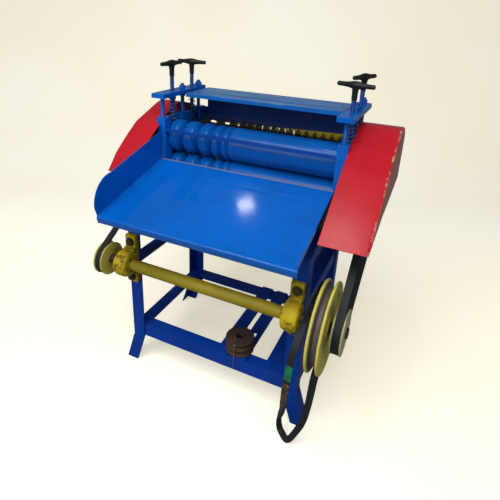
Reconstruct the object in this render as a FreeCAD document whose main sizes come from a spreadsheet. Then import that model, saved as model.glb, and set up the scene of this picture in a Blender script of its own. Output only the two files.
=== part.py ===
import FreeCAD, Part
import Sketcher
import math
import os

os.makedirs("parts", exist_ok=True)

# Electric wire stripping machine: a pair of grooved feed rollers and a pair of
# knife shafts between two side plates, on a stand of angle iron, driven by belts
# from a countershaft. Millimetres. X runs to the right along the rollers, Y to
# the back and Z up. The origin is on the floor, in the middle of the stand.

doc = FreeCAD.newDocument("wire_stripping_machine")
sheet = doc.addObject("Spreadsheet::Sheet", "sizes")
sheet.Label = "sizes"

SIZES = [
    # stand
    ("stand_half_width", 246, "leg outer faces from the middle plane"),
    ("stand_half_depth", 170, "leg outer faces, front and back"),
    ("stand_top", 484, "top of the stand above the floor"),
    ("angle_leg", 36, "flange of the angle iron"),
    ("angle_wall", 4, "thickness of the angle iron"),
    ("kink_height", 96, "height where a leg starts to splay"),
    ("foot_splay", 30, "how far a foot stands outwards"),
    ("middle_rail_top", 354, "top of the middle side rails"),
    ("low_rail_top", 134, "top of the lowest rails"),
    ("slat_thickness", 5, "motor slats, thickness"),
    ("slat_width", 36, "motor slats, width"),
    ("slat_gap", 14, "gap between the two motor slats"),
    ("slat_centre_x", 62, "middle of the gap between the slats"),
    ("slot_width", 9, "motor slots, width"),
    ("slot_length", 40, "motor slots, length over the ends"),
    ("slot_spacing", 140, "motor slots, front to back"),
    ("side_slat_inner_x", 154, "shelf beside the slats, inner edge"),
    ("side_slat_width", 86, "shelf beside the slats, width"),
    # side plates
    ("plate_inner_x", 238, "side plate inner faces"),
    ("plate_thickness", 26, "side plate thickness"),
    ("plate_depth", 222, "side plates, front to back"),
    ("plate_top", 698, "top of the side plates"),
    ("plate_foot_width", 24, "inward foot of a side plate"),
    ("plate_foot_thickness", 8, "thickness of that foot"),
    # shafts
    ("feed_y", 58, "feed rollers, axis from the plates' front face"),
    ("knife_y", 163, "knife shafts, axis from the plates' front face"),
    ("feed_low_z", 548, "lower feed roller axis height"),
    ("feed_radius", 45, "feed rollers, outer radius"),
    ("feed_nip", 2, "gap between the feed rollers"),
    ("knife_low_z", 552, "lower knife shaft axis height"),
    ("blade_radius", 41, "circular blades, radius"),
    ("blade_nip", 2, "gap between upper and lower blades"),
    ("blade_half", 1.5, "half thickness of a blade"),
    ("hub_radius", 27, "knife shaft between the blades, radius"),
    ("journal_radius", 15, "shaft journals, radius"),
    ("journal_fit", 0.05, "running fit in the bearing blocks"),
    ("end_play", 1.5, "gap from roller ends to the side plates"),
    ("groove_1_x", -202, "widest groove of the feed rollers, centre"),
    ("groove_1_half", 16, "that groove, half width"),
    ("groove_1_depth", 17, "that groove, depth"),
    ("groove_2_x", -153, "second groove, centre"),
    ("groove_2_half", 15, "second groove, half width"),
    ("groove_2_depth", 14, "second groove, depth"),
    ("groove_3_x", -110, "third groove, centre"),
    ("groove_3_half", 13, "third groove, half width"),
    ("groove_3_depth", 11, "third groove, depth"),
    ("groove_4_x", -79, "fourth groove, centre"),
    ("groove_4_half", 10, "fourth groove, half width"),
    ("groove_4_depth", 8, "fourth groove, depth"),
    ("groove_5_x", -56, "narrowest groove, centre"),
    ("groove_5_half", 8, "narrowest groove, half width"),
    ("groove_5_depth", 5, "narrowest groove, depth"),
    ("fine_first_x", -30, "first blade of the fine row"),
    ("fine_pitch", 24, "pitch of the fine row of blades"),
    ("fine_count", 11, "blades in the fine row"),
    ("shaft_end", 6, "shaft ends past the plates or pulleys"),
    # bearing blocks
    ("block_half_width", 25, "bearing blocks, half width"),
    ("block_half_height", 26, "bearing blocks, half height"),
    ("block_gap", 0.3, "clearance of a block in its slot"),
    ("lift", 6, "travel of the upper shafts"),
    # bridge
    ("bridge_bottom", 752, "underside of the bridge plates"),
    ("bridge_thickness", 12, "bridge plates, thickness"),
    ("bridge_width", 40, "bridge plates, width"),
    ("bridge_front", 12, "how far a bridge reaches in front of the plates"),
    ("bridge_rear_stop", 10, "how far a bridge ends before the plates' back"),
    ("post_radius", 6, "bridge posts, radius"),
    ("post_inset", 10, "front and rear posts from the plate ends"),
    ("screw_radius", 6, "adjusting screws, radius"),
    ("screw_clearance", 0.2, "radial clearance of a screw in its bridge"),
    ("spring_radius", 9.5, "spring, mean radius"),
    ("spring_wire", 1.3, "spring wire, radius"),
    ("spring_coils", 7, "turns of a spring"),
    ("collar_radius", 10.5, "collar under the bridge, radius"),
    ("collar_height", 11, "collar under the bridge, height"),
    ("seat_gap", 0.3, "gap where pieces of two bodies meet"),
    ("front_left_handle_z", 838, "front left T handle, middle height"),
    ("front_right_handle_z", 827, "front right T handle, middle height"),
    ("rear_left_handle_z", 835, "rear left T handle, middle height"),
    ("rear_right_handle_z", 835, "rear right T handle, middle height"),
    ("front_left_handle_turn", 88, "front left T handle, degrees from across"),
    ("front_right_handle_turn", -15, "front right T handle, degrees from across"),
    ("rear_left_handle_turn", 0, "rear left T handle, degrees from across"),
    ("rear_right_handle_turn", 66, "rear right T handle, degrees from across"),
    ("handle_half_length", 47, "T handles, half length"),
    ("handle_hub_radius", 10, "T handles, hub radius"),
    ("handle_hub_shoulder", 0.85, "T handles, hub radius at its ends, as a share"),
    ("handle_tip_radius", 5.5, "T handles, radius at the tips"),
    ("handle_sleeve_radius", 8, "T handles, sleeve on the screw, radius"),
    ("handle_sleeve_length", 34, "T handles, sleeve below the bar's middle"),
    ("post_nut_radius", 10, "bridge nuts, radius over the corners"),
    ("post_nut_height", 9, "bridge nuts, height"),
    ("post_end", 5.4, "post ends over the upper bridge nuts"),
    ("bolt_head_radius", 8.5, "head bolts, radius over the corners"),
    ("bolt_head_height", 5.3, "head bolts, head height"),
    ("flange_bolt_front", 110, "front flange bolt, from the plates' front face"),
    ("flange_bolt_rear", 184, "rear flange bolt, from the plates' front face"),
    ("flange_bolt_drop", 9, "flange bolts below the plates' top"),
    ("foot_bolt_front", 12, "front foot bolt, from the plates' front face"),
    ("foot_bolt_rear", 155, "rear foot bolt, from the plates' front face"),
    # cover, comb and guide bar
    ("cover_half_width", 223, "top cover, half width"),
    ("cover_front", 85, "front edge of the cover"),
    ("cover_top", 757, "top of the cover"),
    ("cover_lip", 11, "height of the cover's front lip"),
    ("cover_wall", 3, "sheet of the cover"),
    ("comb_top", 676, "top of the guide comb and bottom of the plate above it"),
    ("comb_height", 34, "guide comb, height"),
    ("comb_thickness", 6, "guide comb, thickness"),
    ("comb_front", 212, "guide comb, front face"),
    ("comb_slot_pitch", 9, "fine slots of the comb, pitch"),
    ("comb_slot_count", 13, "fine slots of the comb, how many"),
    ("comb_slot_x", -38, "first fine slot of the comb"),
    ("comb_slot_width", 4, "fine slots of the comb, width"),
    ("comb_slot_height", 20, "fine slots of the comb, height"),
    ("comb_scallop_pitch", 10, "scallops of the comb, pitch"),
    ("comb_scallop_count", 14, "scallops of the comb, how many"),
    ("comb_scallop_x", 92, "first scallop of the comb"),
    ("comb_scallop_radius", 4, "scallops of the comb, radius"),
    ("guide_bar_z", 666, "guide bar in front of the feed rollers"),
    ("guide_bar_height", 7, "guide bar, height"),
    ("guide_bar_depth", 5, "guide bar, thickness"),
    # tray
    ("tray_left_x", 250, "outer face of the tray's left wall, to the left"),
    ("tray_right_x", 248, "outer face of the tray's right lip"),
    ("tray_wall", 2, "sheet of the tray"),
    ("tray_rear_z", 583, "tray floor at its rear edge"),
    ("tray_front_y", 268, "tray front bend, in front of the side plates"),
    ("tray_front_z", 513, "tray floor at the front bend"),
    ("tray_lip", 20, "drop of the front lip"),
    ("tray_side_height", 78, "height of the tray's left wall"),
    ("tray_edge_height", 12, "height of the tray's right lip"),
    ("tray_nose", 4, "how far the rolled front edge reaches out and down"),
    ("tray_corner_length", 63, "round front corner of the left wall, front to back"),
    ("tray_corner_height", 70, "that corner's height"),
    ("strip_depth", 8, "wear strip behind the tray, front to back"),
    ("strip_height", 8, "wear strip, height"),
    ("support_y", 148, "tray supports, in front of the side plates"),
    ("support_depth", 28, "tray supports, front to back"),
    ("support_inner_x", 180, "tray supports, inner faces"),
    ("support_width", 25, "tray supports, width"),
    ("chute_start_drop", 10, "chute's top edge below the lower knife axis"),
    ("chute_blade_gap", 4, "chute's edge behind the blades"),
    ("chute_cheek_rear", 40, "cheek height at the knives"),
    ("chute_cheek_end", 25, "cheek height at the chute's end"),
    ("chute_drop", 60, "fall of the outlet chute"),
    ("chute_length", 120, "outlet chute, length"),
    # countershaft
    ("shaft_z", 356, "countershaft axis height"),
    ("bearing_height", 36.5, "pillow block, base to axis"),
    ("shaft_radius", 12.5, "countershaft radius"),
    ("pillow_length", 140, "pillow block, length"),
    ("pillow_width", 38, "pillow block, width"),
    ("pillow_base", 15, "pillow block, base thickness"),
    ("pillow_hub_radius", 35, "pillow block, housing radius in the middle"),
    ("pillow_end_radius", 28, "pillow block, housing radius at its ends"),
    ("pillow_round_share", 0.95, "housing radius half way to its ends, as a share"),
    ("tube_radius", 15.5, "countershaft between the pillow blocks, radius"),
    ("tube_half_length", 186, "thick part of the countershaft, half length"),
    ("pillow_seat_share", 0.55, "where the housing meets the base, as a share"),
    ("pillow_foot_inset", 3, "pillow block, base narrower than the housing"),
    ("ring_wall", 7, "bearing rings, wall"),
    ("ring_proud", 1, "bearing rings, how far they stand out"),
    ("pillow_bolt_spacing", 105, "pillow block, bolt spacing"),
    ("shaft_left_end", 302, "countershaft, left end"),
    ("shaft_right_end", 352, "countershaft, right end"),
    ("big_radius", 101, "motor pulley on the countershaft, radius"),
    ("big_face", 29, "that pulley, face width"),
    ("big_x", 286, "that pulley, left face"),
    ("b_face", 25, "face width of the left pulleys"),
    ("outer_radius", 50, "right pulley on the countershaft, radius"),
    ("outer_x", 322, "right pulleys, left face"),
    ("c_face", 25, "face width of the right pulleys"),
    ("right_driven_radius", 92, "right driven pulley, radius"),
    ("left_x", 274, "left pulleys, inner face, to the left"),
    ("left_radius", 44, "left pulley on the countershaft, radius"),
    ("left_driven_radius", 76, "left driven pulley, radius"),
    ("b_top", 17, "left belt and loose belt, width"),
    ("b_height", 11, "left belt and loose belt, height"),
    ("c_top", 17, "right belt, width"),
    ("c_height", 11, "right belt, height"),
    ("belt_drop", 1.5, "belt top below the pulley rim"),
    ("belt_gap", 0.35, "gap between belt and groove"),
    ("groove_floor", 3, "room under a belt in its groove"),
    # gears
    ("gear_x", 272, "gears, left face"),
    ("gear_face", 24, "gears, face width"),
    ("gear_module", 4, "gears, module"),
    ("gear_backlash", 0.5, "gears, backlash on the pitch circle"),
    # guards
    ("right_guard_x", 366, "outer face of the right guard"),
    ("left_guard_x", 332, "outer face of the left guard"),
    ("guard_wall", 2, "sheet of the guards"),
    ("guard_top", 731, "top of the guards"),
    ("guard_bottom", 505, "bottom edge of the left guard"),
    ("right_guard_bottom", 565, "bottom edge of the right guard"),
    ("right_nose_y", 205, "front end of the right guard, before the side plates"),
    ("right_nose_z", 543, "front end of the right guard, height"),
    ("guard_knee_z", 590, "height where the guards' backs are upright"),
    ("guard_back_y", 262, "back of the left guard"),
    ("right_back_y", 215, "back of the right guard"),
    ("right_back_z", 640, "top of the right guard's upright back"),
    ("right_back_end", 10, "right guard's bottom corner above its bottom edge"),
    ("guard_crown_y", 96, "highest place of the left guard"),
    ("right_crown_y", 112, "highest place of the right guard"),
    ("guard_crown_length", 54, "flat of the crown, front to back"),
    ("guard_shoulder_y", 66, "front end of the right guard's crown"),
    ("guard_shoulder_drop", 16, "how far it lies under the top"),
    ("guard_rear_inset", 40, "rear shoulder before the left guard's back"),
    ("right_rear_inset", 12, "rear shoulder before the right guard's back"),
    ("guard_rear_drop", 29, "rear shoulders below the guards' top"),
    ("guard_back_rise", 20, "top of the upright back over the knee"),
    ("right_slope_y", 42, "middle of the right guard's front slope, forwards"),
    ("right_slope_rise", 67, "that place over the upright back's height"),
    ("left_guard_lower", 9, "left guard's crown below the right one's"),
    ("left_nose_y", 132, "front end of the left guard, before the side plates"),
    ("left_nose_z", 569, "front end of the left guard, height"),
    ("left_low_y", 98, "lower bend of the left guard's front, forwards"),
    ("left_low_z", 613, "height of that bend"),
    ("left_middle_y", 51, "middle bend of the left guard's front, forwards"),
    ("left_middle_z", 650, "height of that bend"),
    ("left_high_y", 6, "upper bend of the left guard's front, forwards"),
    ("left_high_z", 681, "height of that bend"),
    ("left_apron_x", 252, "inner edge of the left guard's front, to the left"),
    ("left_cheek_low_y", 60, "left guard's cheek, front end of its bottom, forwards"),
    ("left_cheek_rise", 30, "that end over the bottom edge"),
    ("left_cheek_y", 20, "left guard's cheek, where its bottom edge turns up"),
    ("right_cheek_front", 102, "right guard's cheek, front end of its bottom, forwards"),
    ("right_cheek_y", 42, "right guard's cheek, middle of its bottom edge"),
    ("flange_inset", 3, "guards' flanges from the plates' front"),
    ("flange_end", 198, "rear end of the guards' flanges"),
    ("flange_depth", 16, "guards' flanges below the plates' top"),
    ("web_recess", 5.5, "hollow in the faces of the motor pulley"),
    ("pulley_hub_radius", 29, "hub of the motor pulley, radius"),
    ("pulley_hub_inset", 2, "that hub's ends below the pulley's faces"),
    ("rim_wall", 7, "rim of the motor pulley under its groove"),
    ("rim_slant", 3, "slant of that rim's inner side"),
    ("pillow_bolt_head", 7, "pillow block bolts, head height"),
    # loose pieces
    ("loose_radius", 38, "loose pulley, radius"),
    ("loose_height", 40, "loose pulley, height"),
    ("loose_bore", 12, "loose pulley, bore radius"),
    ("loose_y", 128, "loose pulley, before the middle of the stand"),
    ("loose_offset_x", 10, "loose pulley, right of the slats' middle"),
    ("loose_groove_depth", 12, "loose pulley, depth of its two grooves"),
    ("loose_rim", 4, "loose pulley, its rims and middle land, width"),
    ("loose_groove_width", 14, "loose pulley, width of a groove at the rim"),
    ("tie_wire_radius", 0.7, "tie wire, half its thickness"),
    ("tie_wire_bend", 4, "tie wire, radius of its bends"),
    ("tie_wire_gap", 0.7, "tie wire, gap over what it lies on"),
]

for row, (alias, value, note) in enumerate(SIZES, start=1):
    sheet.set(f"A{row}", alias)
    sheet.set(f"B{row}", str(value))
    sheet.setAlias(f"B{row}", alias)
    sheet.set(f"C{row}", note)
doc.recompute()


class Formula:
    """A length from the sheet, as the text of an expression and as a number."""

    def __init__(self, text, number):
        self.text = text
        self.number = number

    def __add__(self, other):
        other = formula(other)
        return Formula(f"({self.text} + {other.text})", self.number + other.number)

    def __radd__(self, other):
        return formula(other) + self

    def __sub__(self, other):
        other = formula(other)
        return Formula(f"({self.text} - {other.text})", self.number - other.number)

    def __rsub__(self, other):
        return formula(other) - self

    def __mul__(self, factor):
        factor = formula(factor)
        return Formula(f"({self.text} * {factor.text})", self.number * factor.number)

    def __rmul__(self, factor):
        return self * factor

    def __truediv__(self, divisor):
        divisor = formula(divisor)
        return Formula(f"({self.text} / {divisor.text})", self.number / divisor.number)

    def __neg__(self):
        return Formula(f"(0 - {self.text})", -self.number)


def formula(value):
    if isinstance(value, Formula):
        return value
    return Formula(f"({float(value):.6f})", float(value))


def cell(alias):
    return Formula(f"sizes.{alias}", float(sheet.get(alias)))


class Sizes:
    """Every cell of the sheet as an attribute."""


s = Sizes()
for alias, value, note in SIZES:
    setattr(s, alias, cell(alias))

nodes = []


def node(obj, label):
    """Names a finished sub-part and puts it on the list that is written out."""
    obj.Label = label
    nodes.append(obj)
    return obj


def new_body(name, x=0, y=0, z=0):
    """An empty body whose local origin is bound to the sheet."""
    body = doc.addObject("PartDesign::Body", name)
    for axis, place in (("x", x), ("y", y), ("z", z)):
        if isinstance(place, Formula) or place:
            body.setExpression(f".Placement.Base.{axis}", formula(place).text)
    return body


def origin_plane(body, role):
    return next(f for f in body.Origin.OriginFeatures if f.Role == role)


def new_sketch(body, name, plane, offset):
    sketch = body.newObject("Sketcher::SketchObject", name)
    sketch.AttachmentSupport = [(origin_plane(body, plane + "_Plane"), "")]
    sketch.MapMode = "FlatFace"
    sketch.setExpression("AttachmentOffset.Base.z", formula(offset).text)
    return sketch


def pin_point(sketch, edge, end, u, v):
    """Holds one point of a sketch at its two distances from the sketch origin."""
    for kind, place in (("DistanceX", u), ("DistanceY", v)):
        place = formula(place)
        limit = Sketcher.Constraint(kind, -1, 1, edge, end, place.number)
        number = sketch.addConstraint(limit)
        sketch.setExpression(f"Constraints[{number}]", place.text)


def outline(body, name, plane, offset, points):
    """A closed outline of straight lines through points given as formulas."""
    sketch = new_sketch(body, name, plane, offset)
    numbers = [(formula(u).number, formula(v).number) for u, v in points]
    count = len(points)
    for index in range(count):
        start = numbers[index]
        stop = numbers[(index + 1) % count]
        line = Part.LineSegment(FreeCAD.Vector(*start, 0), FreeCAD.Vector(*stop, 0))
        sketch.addGeometry(line, False)
    for index in range(count):
        after = (index + 1) % count
        sketch.addConstraint(Sketcher.Constraint("Coincident", index, 2, after, 1))
    for index, (u, v) in enumerate(points):
        pin_point(sketch, index, 1, u, v)
    return sketch


def circles(body, name, plane, offset, centres, radius):
    """Circles of one radius about points given as formulas."""
    sketch = new_sketch(body, name, plane, offset)
    radius = formula(radius)
    for index, (u, v) in enumerate(centres):
        centre = FreeCAD.Vector(formula(u).number, formula(v).number, 0)
        circle = Part.Circle(centre, FreeCAD.Vector(0, 0, 1), radius.number)
        sketch.addGeometry(circle, False)
        number = sketch.addConstraint(Sketcher.Constraint("Radius", index, radius.number))
        sketch.setExpression(f"Constraints[{number}]", radius.text)
        pin_point(sketch, index, 3, u, v)
    return sketch


def plane_offset(plane, low, high, cutting):
    """Where a sketch stands so that its feature fills low to high."""
    if plane == "XZ":
        return -low if cutting else -high
    return high if cutting else low


def extrude(body, sketch, low, high, cutting):
    kind = "PartDesign::Pocket" if cutting else "PartDesign::Pad"
    feature = body.newObject(kind, sketch.Name + ("_cut" if cutting else "_pad"))
    feature.Profile = sketch
    feature.setExpression("Length", (formula(high) - formula(low)).text)
    sketch.Visibility = False
    return feature


def prism(body, name, plane, points, low, high, cutting=False):
    """Fills, or cuts, an outline from low to high along the plane's normal."""
    offset = plane_offset(plane, formula(low), formula(high), cutting)
    sketch = outline(body, name, plane, offset, points)
    return extrude(body, sketch, low, high, cutting)


def drill(body, name, plane, centres, radius, low, high):
    """Round holes from low to high."""
    offset = plane_offset(plane, formula(low), formula(high), True)
    sketch = circles(body, name, plane, offset, centres, radius)
    return extrude(body, sketch, low, high, True)


def disc(body, name, plane, centres, radius, low, high):
    """Round bosses from low to high."""
    offset = plane_offset(plane, formula(low), formula(high), False)
    sketch = circles(body, name, plane, offset, centres, radius)
    return extrude(body, sketch, low, high, False)


def polygon(u, v, radius, sides):
    """Corners of an even-sided outline, its radius over the corners."""
    corners = []
    for step in range(sides):
        around = 2 * math.pi * (step + 0.5) / sides
        corners.append((u + radius * math.cos(around), v + radius * math.sin(around)))
    return corners


def rectangle(u_low, u_high, v_low, v_high):
    return [(u_low, v_low), (u_high, v_low), (u_high, v_high), (u_low, v_high)]


def turn(body, name, points, axis):
    """Turns an outline about the body's own X axis or Z axis."""
    plane = "XY" if axis == "X" else "XZ"
    sketch = outline(body, name, plane, 0, points)
    feature = body.newObject("PartDesign::Revolution", name + "_turned")
    feature.Profile = sketch
    feature.ReferenceAxis = (sketch, ["H_Axis" if axis == "X" else "V_Axis"])
    feature.Angle = 360
    sketch.Visibility = False
    return feature


def group(label, shapes):
    """Several separate solids that share one node."""
    feature = doc.addObject("Part::Feature", label)
    feature.Shape = Part.makeCompound(shapes)
    return node(feature, label)


def gather(label, bodies):
    """Like bodies that share one node."""
    doc.recompute()
    return group(label, [body.Shape for body in bodies])


X_AXIS = FreeCAD.Vector(1, 0, 0)
Y_AXIS = FreeCAD.Vector(0, 1, 0)
Z_AXIS = FreeCAD.Vector(0, 0, 1)


def angle_profile(corner_u, corner_v, side_u, side_v):
    """An L outline with its corner outwards; the sides are +1 or -1."""
    leg = s.angle_leg
    wall = s.angle_wall
    return [
        (corner_u, corner_v),
        (corner_u + side_u * leg, corner_v),
        (corner_u + side_u * leg, corner_v + side_v * wall),
        (corner_u + side_u * wall, corner_v + side_v * wall),
        (corner_u + side_u * wall, corner_v + side_v * leg),
        (corner_u, corner_v + side_v * leg),
    ]


# Legs: angle iron, straight down to the kink and then splayed sideways.

def make_leg(label, side_x, side_y):
    corner_x = side_x * s.stand_half_width
    corner_y = side_y * s.stand_half_depth
    body = new_body(label)
    straight = angle_profile(corner_x, corner_y, -side_x, -side_y)
    prism(body, label + "_straight", "XY", straight, s.kink_height, s.stand_top)
    upper = outline(body, label + "_kink", "XY", s.kink_height, straight)
    splayed = [(u + side_x * s.foot_splay, v) for u, v in straight]
    lower = outline(body, label + "_foot", "XY", 0, splayed)
    loft = body.newObject("PartDesign::AdditiveLoft", label + "_splay")
    loft.Profile = upper
    loft.Sections = [lower]
    loft.Ruled = True
    return node(body, label)


for side_x, name_x in ((-1, "left"), (1, "right")):
    for side_y, name_y in ((-1, "front"), (1, "rear")):
        make_leg(f"leg_{name_y}_{name_x}", side_x, side_y)


# Rails between the legs: angle iron with the corner up and outwards.

def make_cross_rail(label, side_y, top):
    face_y = side_y * (s.stand_half_depth - s.angle_wall)
    body = new_body(label)
    points = angle_profile(face_y, top, -side_y, -1)
    end = s.stand_half_width - s.angle_wall
    prism(body, label + "_bar", "YZ", points, -end, end)
    return body


def make_side_rail(label, side_x, top, end):
    face_x = side_x * (s.stand_half_width - s.angle_wall)
    body = new_body(label)
    points = angle_profile(face_x, top, -side_x, -1)
    prism(body, label + "_bar", "XZ", points, -end, end)
    return body


between_legs = s.stand_half_depth - s.angle_wall
between_rails = between_legs - s.angle_leg


def make_frame(label, top):
    """Two cross rails and two side rails at one height."""
    rails = []
    for side, name_x, name_y in ((-1, "left", "front"), (1, "right", "rear")):
        rails.append(make_cross_rail(f"{label}_{name_y}", side, top))
        rails.append(make_side_rail(f"{label}_{name_x}", side, top, between_rails))
    return gather(label, rails)


make_frame("top_rails", s.stand_top)
make_frame("low_rails", s.low_rail_top)
gather("middle_rails", [make_side_rail("middle_rail_left", -1, s.middle_rail_top, between_legs),
                        make_side_rail("middle_rail_right", 1, s.middle_rail_top, between_legs)])


# Slats on the low rails: two with slots for a motor foot, one beside the belt.

def make_slat(label, low_x, width, slotted):
    """A flat bar; a slotted one has two long holes with round ends, front to back."""
    body = new_body(label)
    end = s.stand_half_depth - s.angle_wall
    top = s.low_rail_top + s.slat_thickness
    flat = rectangle(low_x, low_x + width, -end, end)
    prism(body, label + "_bar", "XY", flat, s.low_rail_top, top)
    if slotted:
        middle = low_x + width / 2
        half = s.slot_width / 2
        straight = s.slot_length / 2 - half
        places = [side * s.slot_spacing / 2 for side in (-1, 1)]
        ends = [(middle, place + way * straight) for place in places for way in (-1, 1)]
        drill(body, label + "_ends", "XY", ends, half, s.low_rail_top - 1, top + 1)
        for index, place in enumerate(places):
            hole = rectangle(middle - half, middle + half, place - straight, place + straight)
            prism(body, f"{label}_slot_{index}", "XY", hole, s.low_rail_top - 1, top + 1,
                  cutting=True)
    return body


slat_left_x = s.slat_centre_x - s.slat_gap / 2 - s.slat_width
slat_right_x = s.slat_centre_x + s.slat_gap / 2
gather("motor_slats", [
    make_slat("motor_slat_left", slat_left_x, s.slat_width, True),
    make_slat("motor_slat_right", slat_right_x, s.slat_width, True),
    make_slat("side_shelf", s.side_slat_inner_x, s.side_slat_width, False)])


# Side plates: thick plates with two open slots for the bearing blocks.

feed_high_z = s.feed_low_z + s.feed_radius * 2 + s.feed_nip
knife_high_z = s.knife_low_z + s.blade_radius * 2 + s.blade_nip
plate_outer_x = s.plate_inner_x + s.plate_thickness
screw_x = s.plate_inner_x + s.plate_thickness / 2
slot_half = s.block_half_width + s.block_gap

SHAFT_ROWS = (("feed", s.feed_y, s.feed_low_z, feed_high_z),
              ("knife", s.knife_y, s.knife_low_z, knife_high_z))


def side_range(side, near, far):
    """Low and high X of something between two distances on one side."""
    return (near, far) if side > 0 else (-far, -near)


def make_side_plate(label, side):
    body = new_body(label)
    low, high = side_range(side, s.plate_inner_x, plate_outer_x)
    face = rectangle(0, s.plate_depth, s.stand_top, s.plate_top)
    prism(body, label + "_plate", "YZ", face, low, high)
    foot_low, foot_high = side_range(side, s.plate_inner_x - s.plate_foot_width,
                                     s.plate_inner_x)
    foot = rectangle(0, s.stand_half_depth, s.stand_top, s.stand_top + s.plate_foot_thickness)
    prism(body, label + "_foot", "YZ", foot, foot_low, foot_high)
    for row, y, low_z, high_z in SHAFT_ROWS:
        seat = low_z - s.block_half_height
        slot = rectangle(y - slot_half, y + slot_half, seat, s.plate_top + 1)
        prism(body, f"{label}_{row}_slot", "YZ", slot, low - 1, high + 1, cutting=True)
    return node(body, label)


make_side_plate("side_plate_left", -1)
make_side_plate("side_plate_right", 1)


# Bearing blocks: the lower four are fixed, the upper four slide in the slots.

def make_blocks(label, row_y, height):
    """One block in each side plate, bored for a journal."""
    pieces = []
    for side, name in ((-1, "left"), (1, "right")):
        body = new_body(f"{label}_{name}")
        low, high = side_range(side, s.plate_inner_x, plate_outer_x)
        face = rectangle(row_y - s.block_half_width, row_y + s.block_half_width,
                         height - s.block_half_height, height + s.block_half_height)
        prism(body, f"{label}_{name}_block", "YZ", face, low, high)
        drill(body, f"{label}_{name}_bore", "YZ", [(row_y, height)],
              s.journal_radius + s.journal_fit, low - 1, high + 1)
        pieces.append(body)
    return pieces


gather("lower_bearings", make_blocks("lower_feed", s.feed_y, s.feed_low_z)
       + make_blocks("lower_knife", s.knife_y, s.knife_low_z))
gather("feed_slide_blocks", make_blocks("feed_slide", s.feed_y, feed_high_z))
gather("knife_slide_blocks", make_blocks("knife_slide", s.knife_y, knife_high_z))


# Bridges: a plate over each side plate, held down on three posts.

bridge_top = s.bridge_bottom + s.bridge_thickness
screw_hole_radius = s.screw_radius + s.screw_clearance
post_rows = [s.post_inset, (s.feed_y + s.knife_y) / 2, s.plate_depth - s.post_inset * 2]


def make_bridge(label, side):
    body = new_body(label)
    low = side * screw_x - s.bridge_width / 2
    flat = rectangle(low, low + s.bridge_width, -s.bridge_front,
                     s.plate_depth - s.bridge_rear_stop)
    prism(body, label + "_plate", "XY", flat, s.bridge_bottom, bridge_top)
    holes = [(side * screw_x, row[1]) for row in SHAFT_ROWS]
    drill(body, label + "_holes", "XY", holes, screw_hole_radius, s.bridge_bottom - 1,
          bridge_top + 1)
    return node(body, label)


make_bridge("bridge_left", -1)
make_bridge("bridge_right", 1)


# Plain solids for groups of like pieces; every number comes from the sheet.

def number(value):
    return formula(value).number


def point(x, y, z):
    return FreeCAD.Vector(number(x), number(y), number(z))


def rod(x, y, z, radius, length, axis=Z_AXIS):
    return Part.makeCylinder(number(radius), number(length), point(x, y, z), axis)


def bar(x, y, z, radius, length, axis=Z_AXIS, sides=6):
    """A bar with flat sides from a point along an axis, its radius over the corners."""
    across = Z_AXIS if abs(axis.z) < 0.5 else X_AXIS
    third = axis.cross(across)
    start = point(x, y, z)
    corners = []
    for step in range(sides + 1):
        around = 2 * math.pi * (step + 0.5) / sides
        corner = across * math.cos(around) + third * math.sin(around)
        corners.append(start + corner * number(radius))
    face = Part.Face(Part.makePolygon(corners))
    return face.extrude(axis * number(length))


def make_posts():
    """Studs under the bridges; the middle and rear ones have a nut under and over it."""
    pieces = []
    for side in (-1, 1):
        x = side * screw_x
        front, *others = post_rows
        stud_length = s.bridge_bottom - s.plate_top
        pieces.append(bar(x, front, s.plate_top, s.post_radius, stud_length, sides=8))
        for y in others:
            nut_z = s.bridge_bottom - s.post_nut_height
            end_z = bridge_top + s.post_nut_height
            pieces.append(bar(x, y, s.plate_top, s.post_radius, nut_z - s.plate_top, sides=8))
            pieces.append(bar(x, y, nut_z, s.post_nut_radius, s.post_nut_height))
            pieces.append(bar(x, y, bridge_top, s.post_nut_radius, s.post_nut_height))
            pieces.append(bar(x, y, end_z, s.post_radius, s.post_end, sides=8))
    return pieces


def make_collars():
    """Threaded collars under the bridges for the adjusting screws."""
    pieces = []
    for side in (-1, 1):
        for row, y, low_z, high_z in SHAFT_ROWS:
            z = s.bridge_bottom - s.collar_height
            outside = bar(side * screw_x, y, z, s.collar_radius, s.collar_height, sides=8)
            inside = rod(side * screw_x, y, z - 1, screw_hole_radius, s.collar_height + 2)
            pieces.append(outside.cut(inside))
    return pieces


group("bridge_posts_and_collars", make_posts() + make_collars())


# Adjusting screws with their T handles.

HANDLES = (
    ("front_left", -1, "feed"),
    ("front_right", 1, "feed"),
    ("rear_left", -1, "knife"),
    ("rear_right", 1, "knife"),
)
ROWS = {row[0]: row for row in SHAFT_ROWS}


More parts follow.
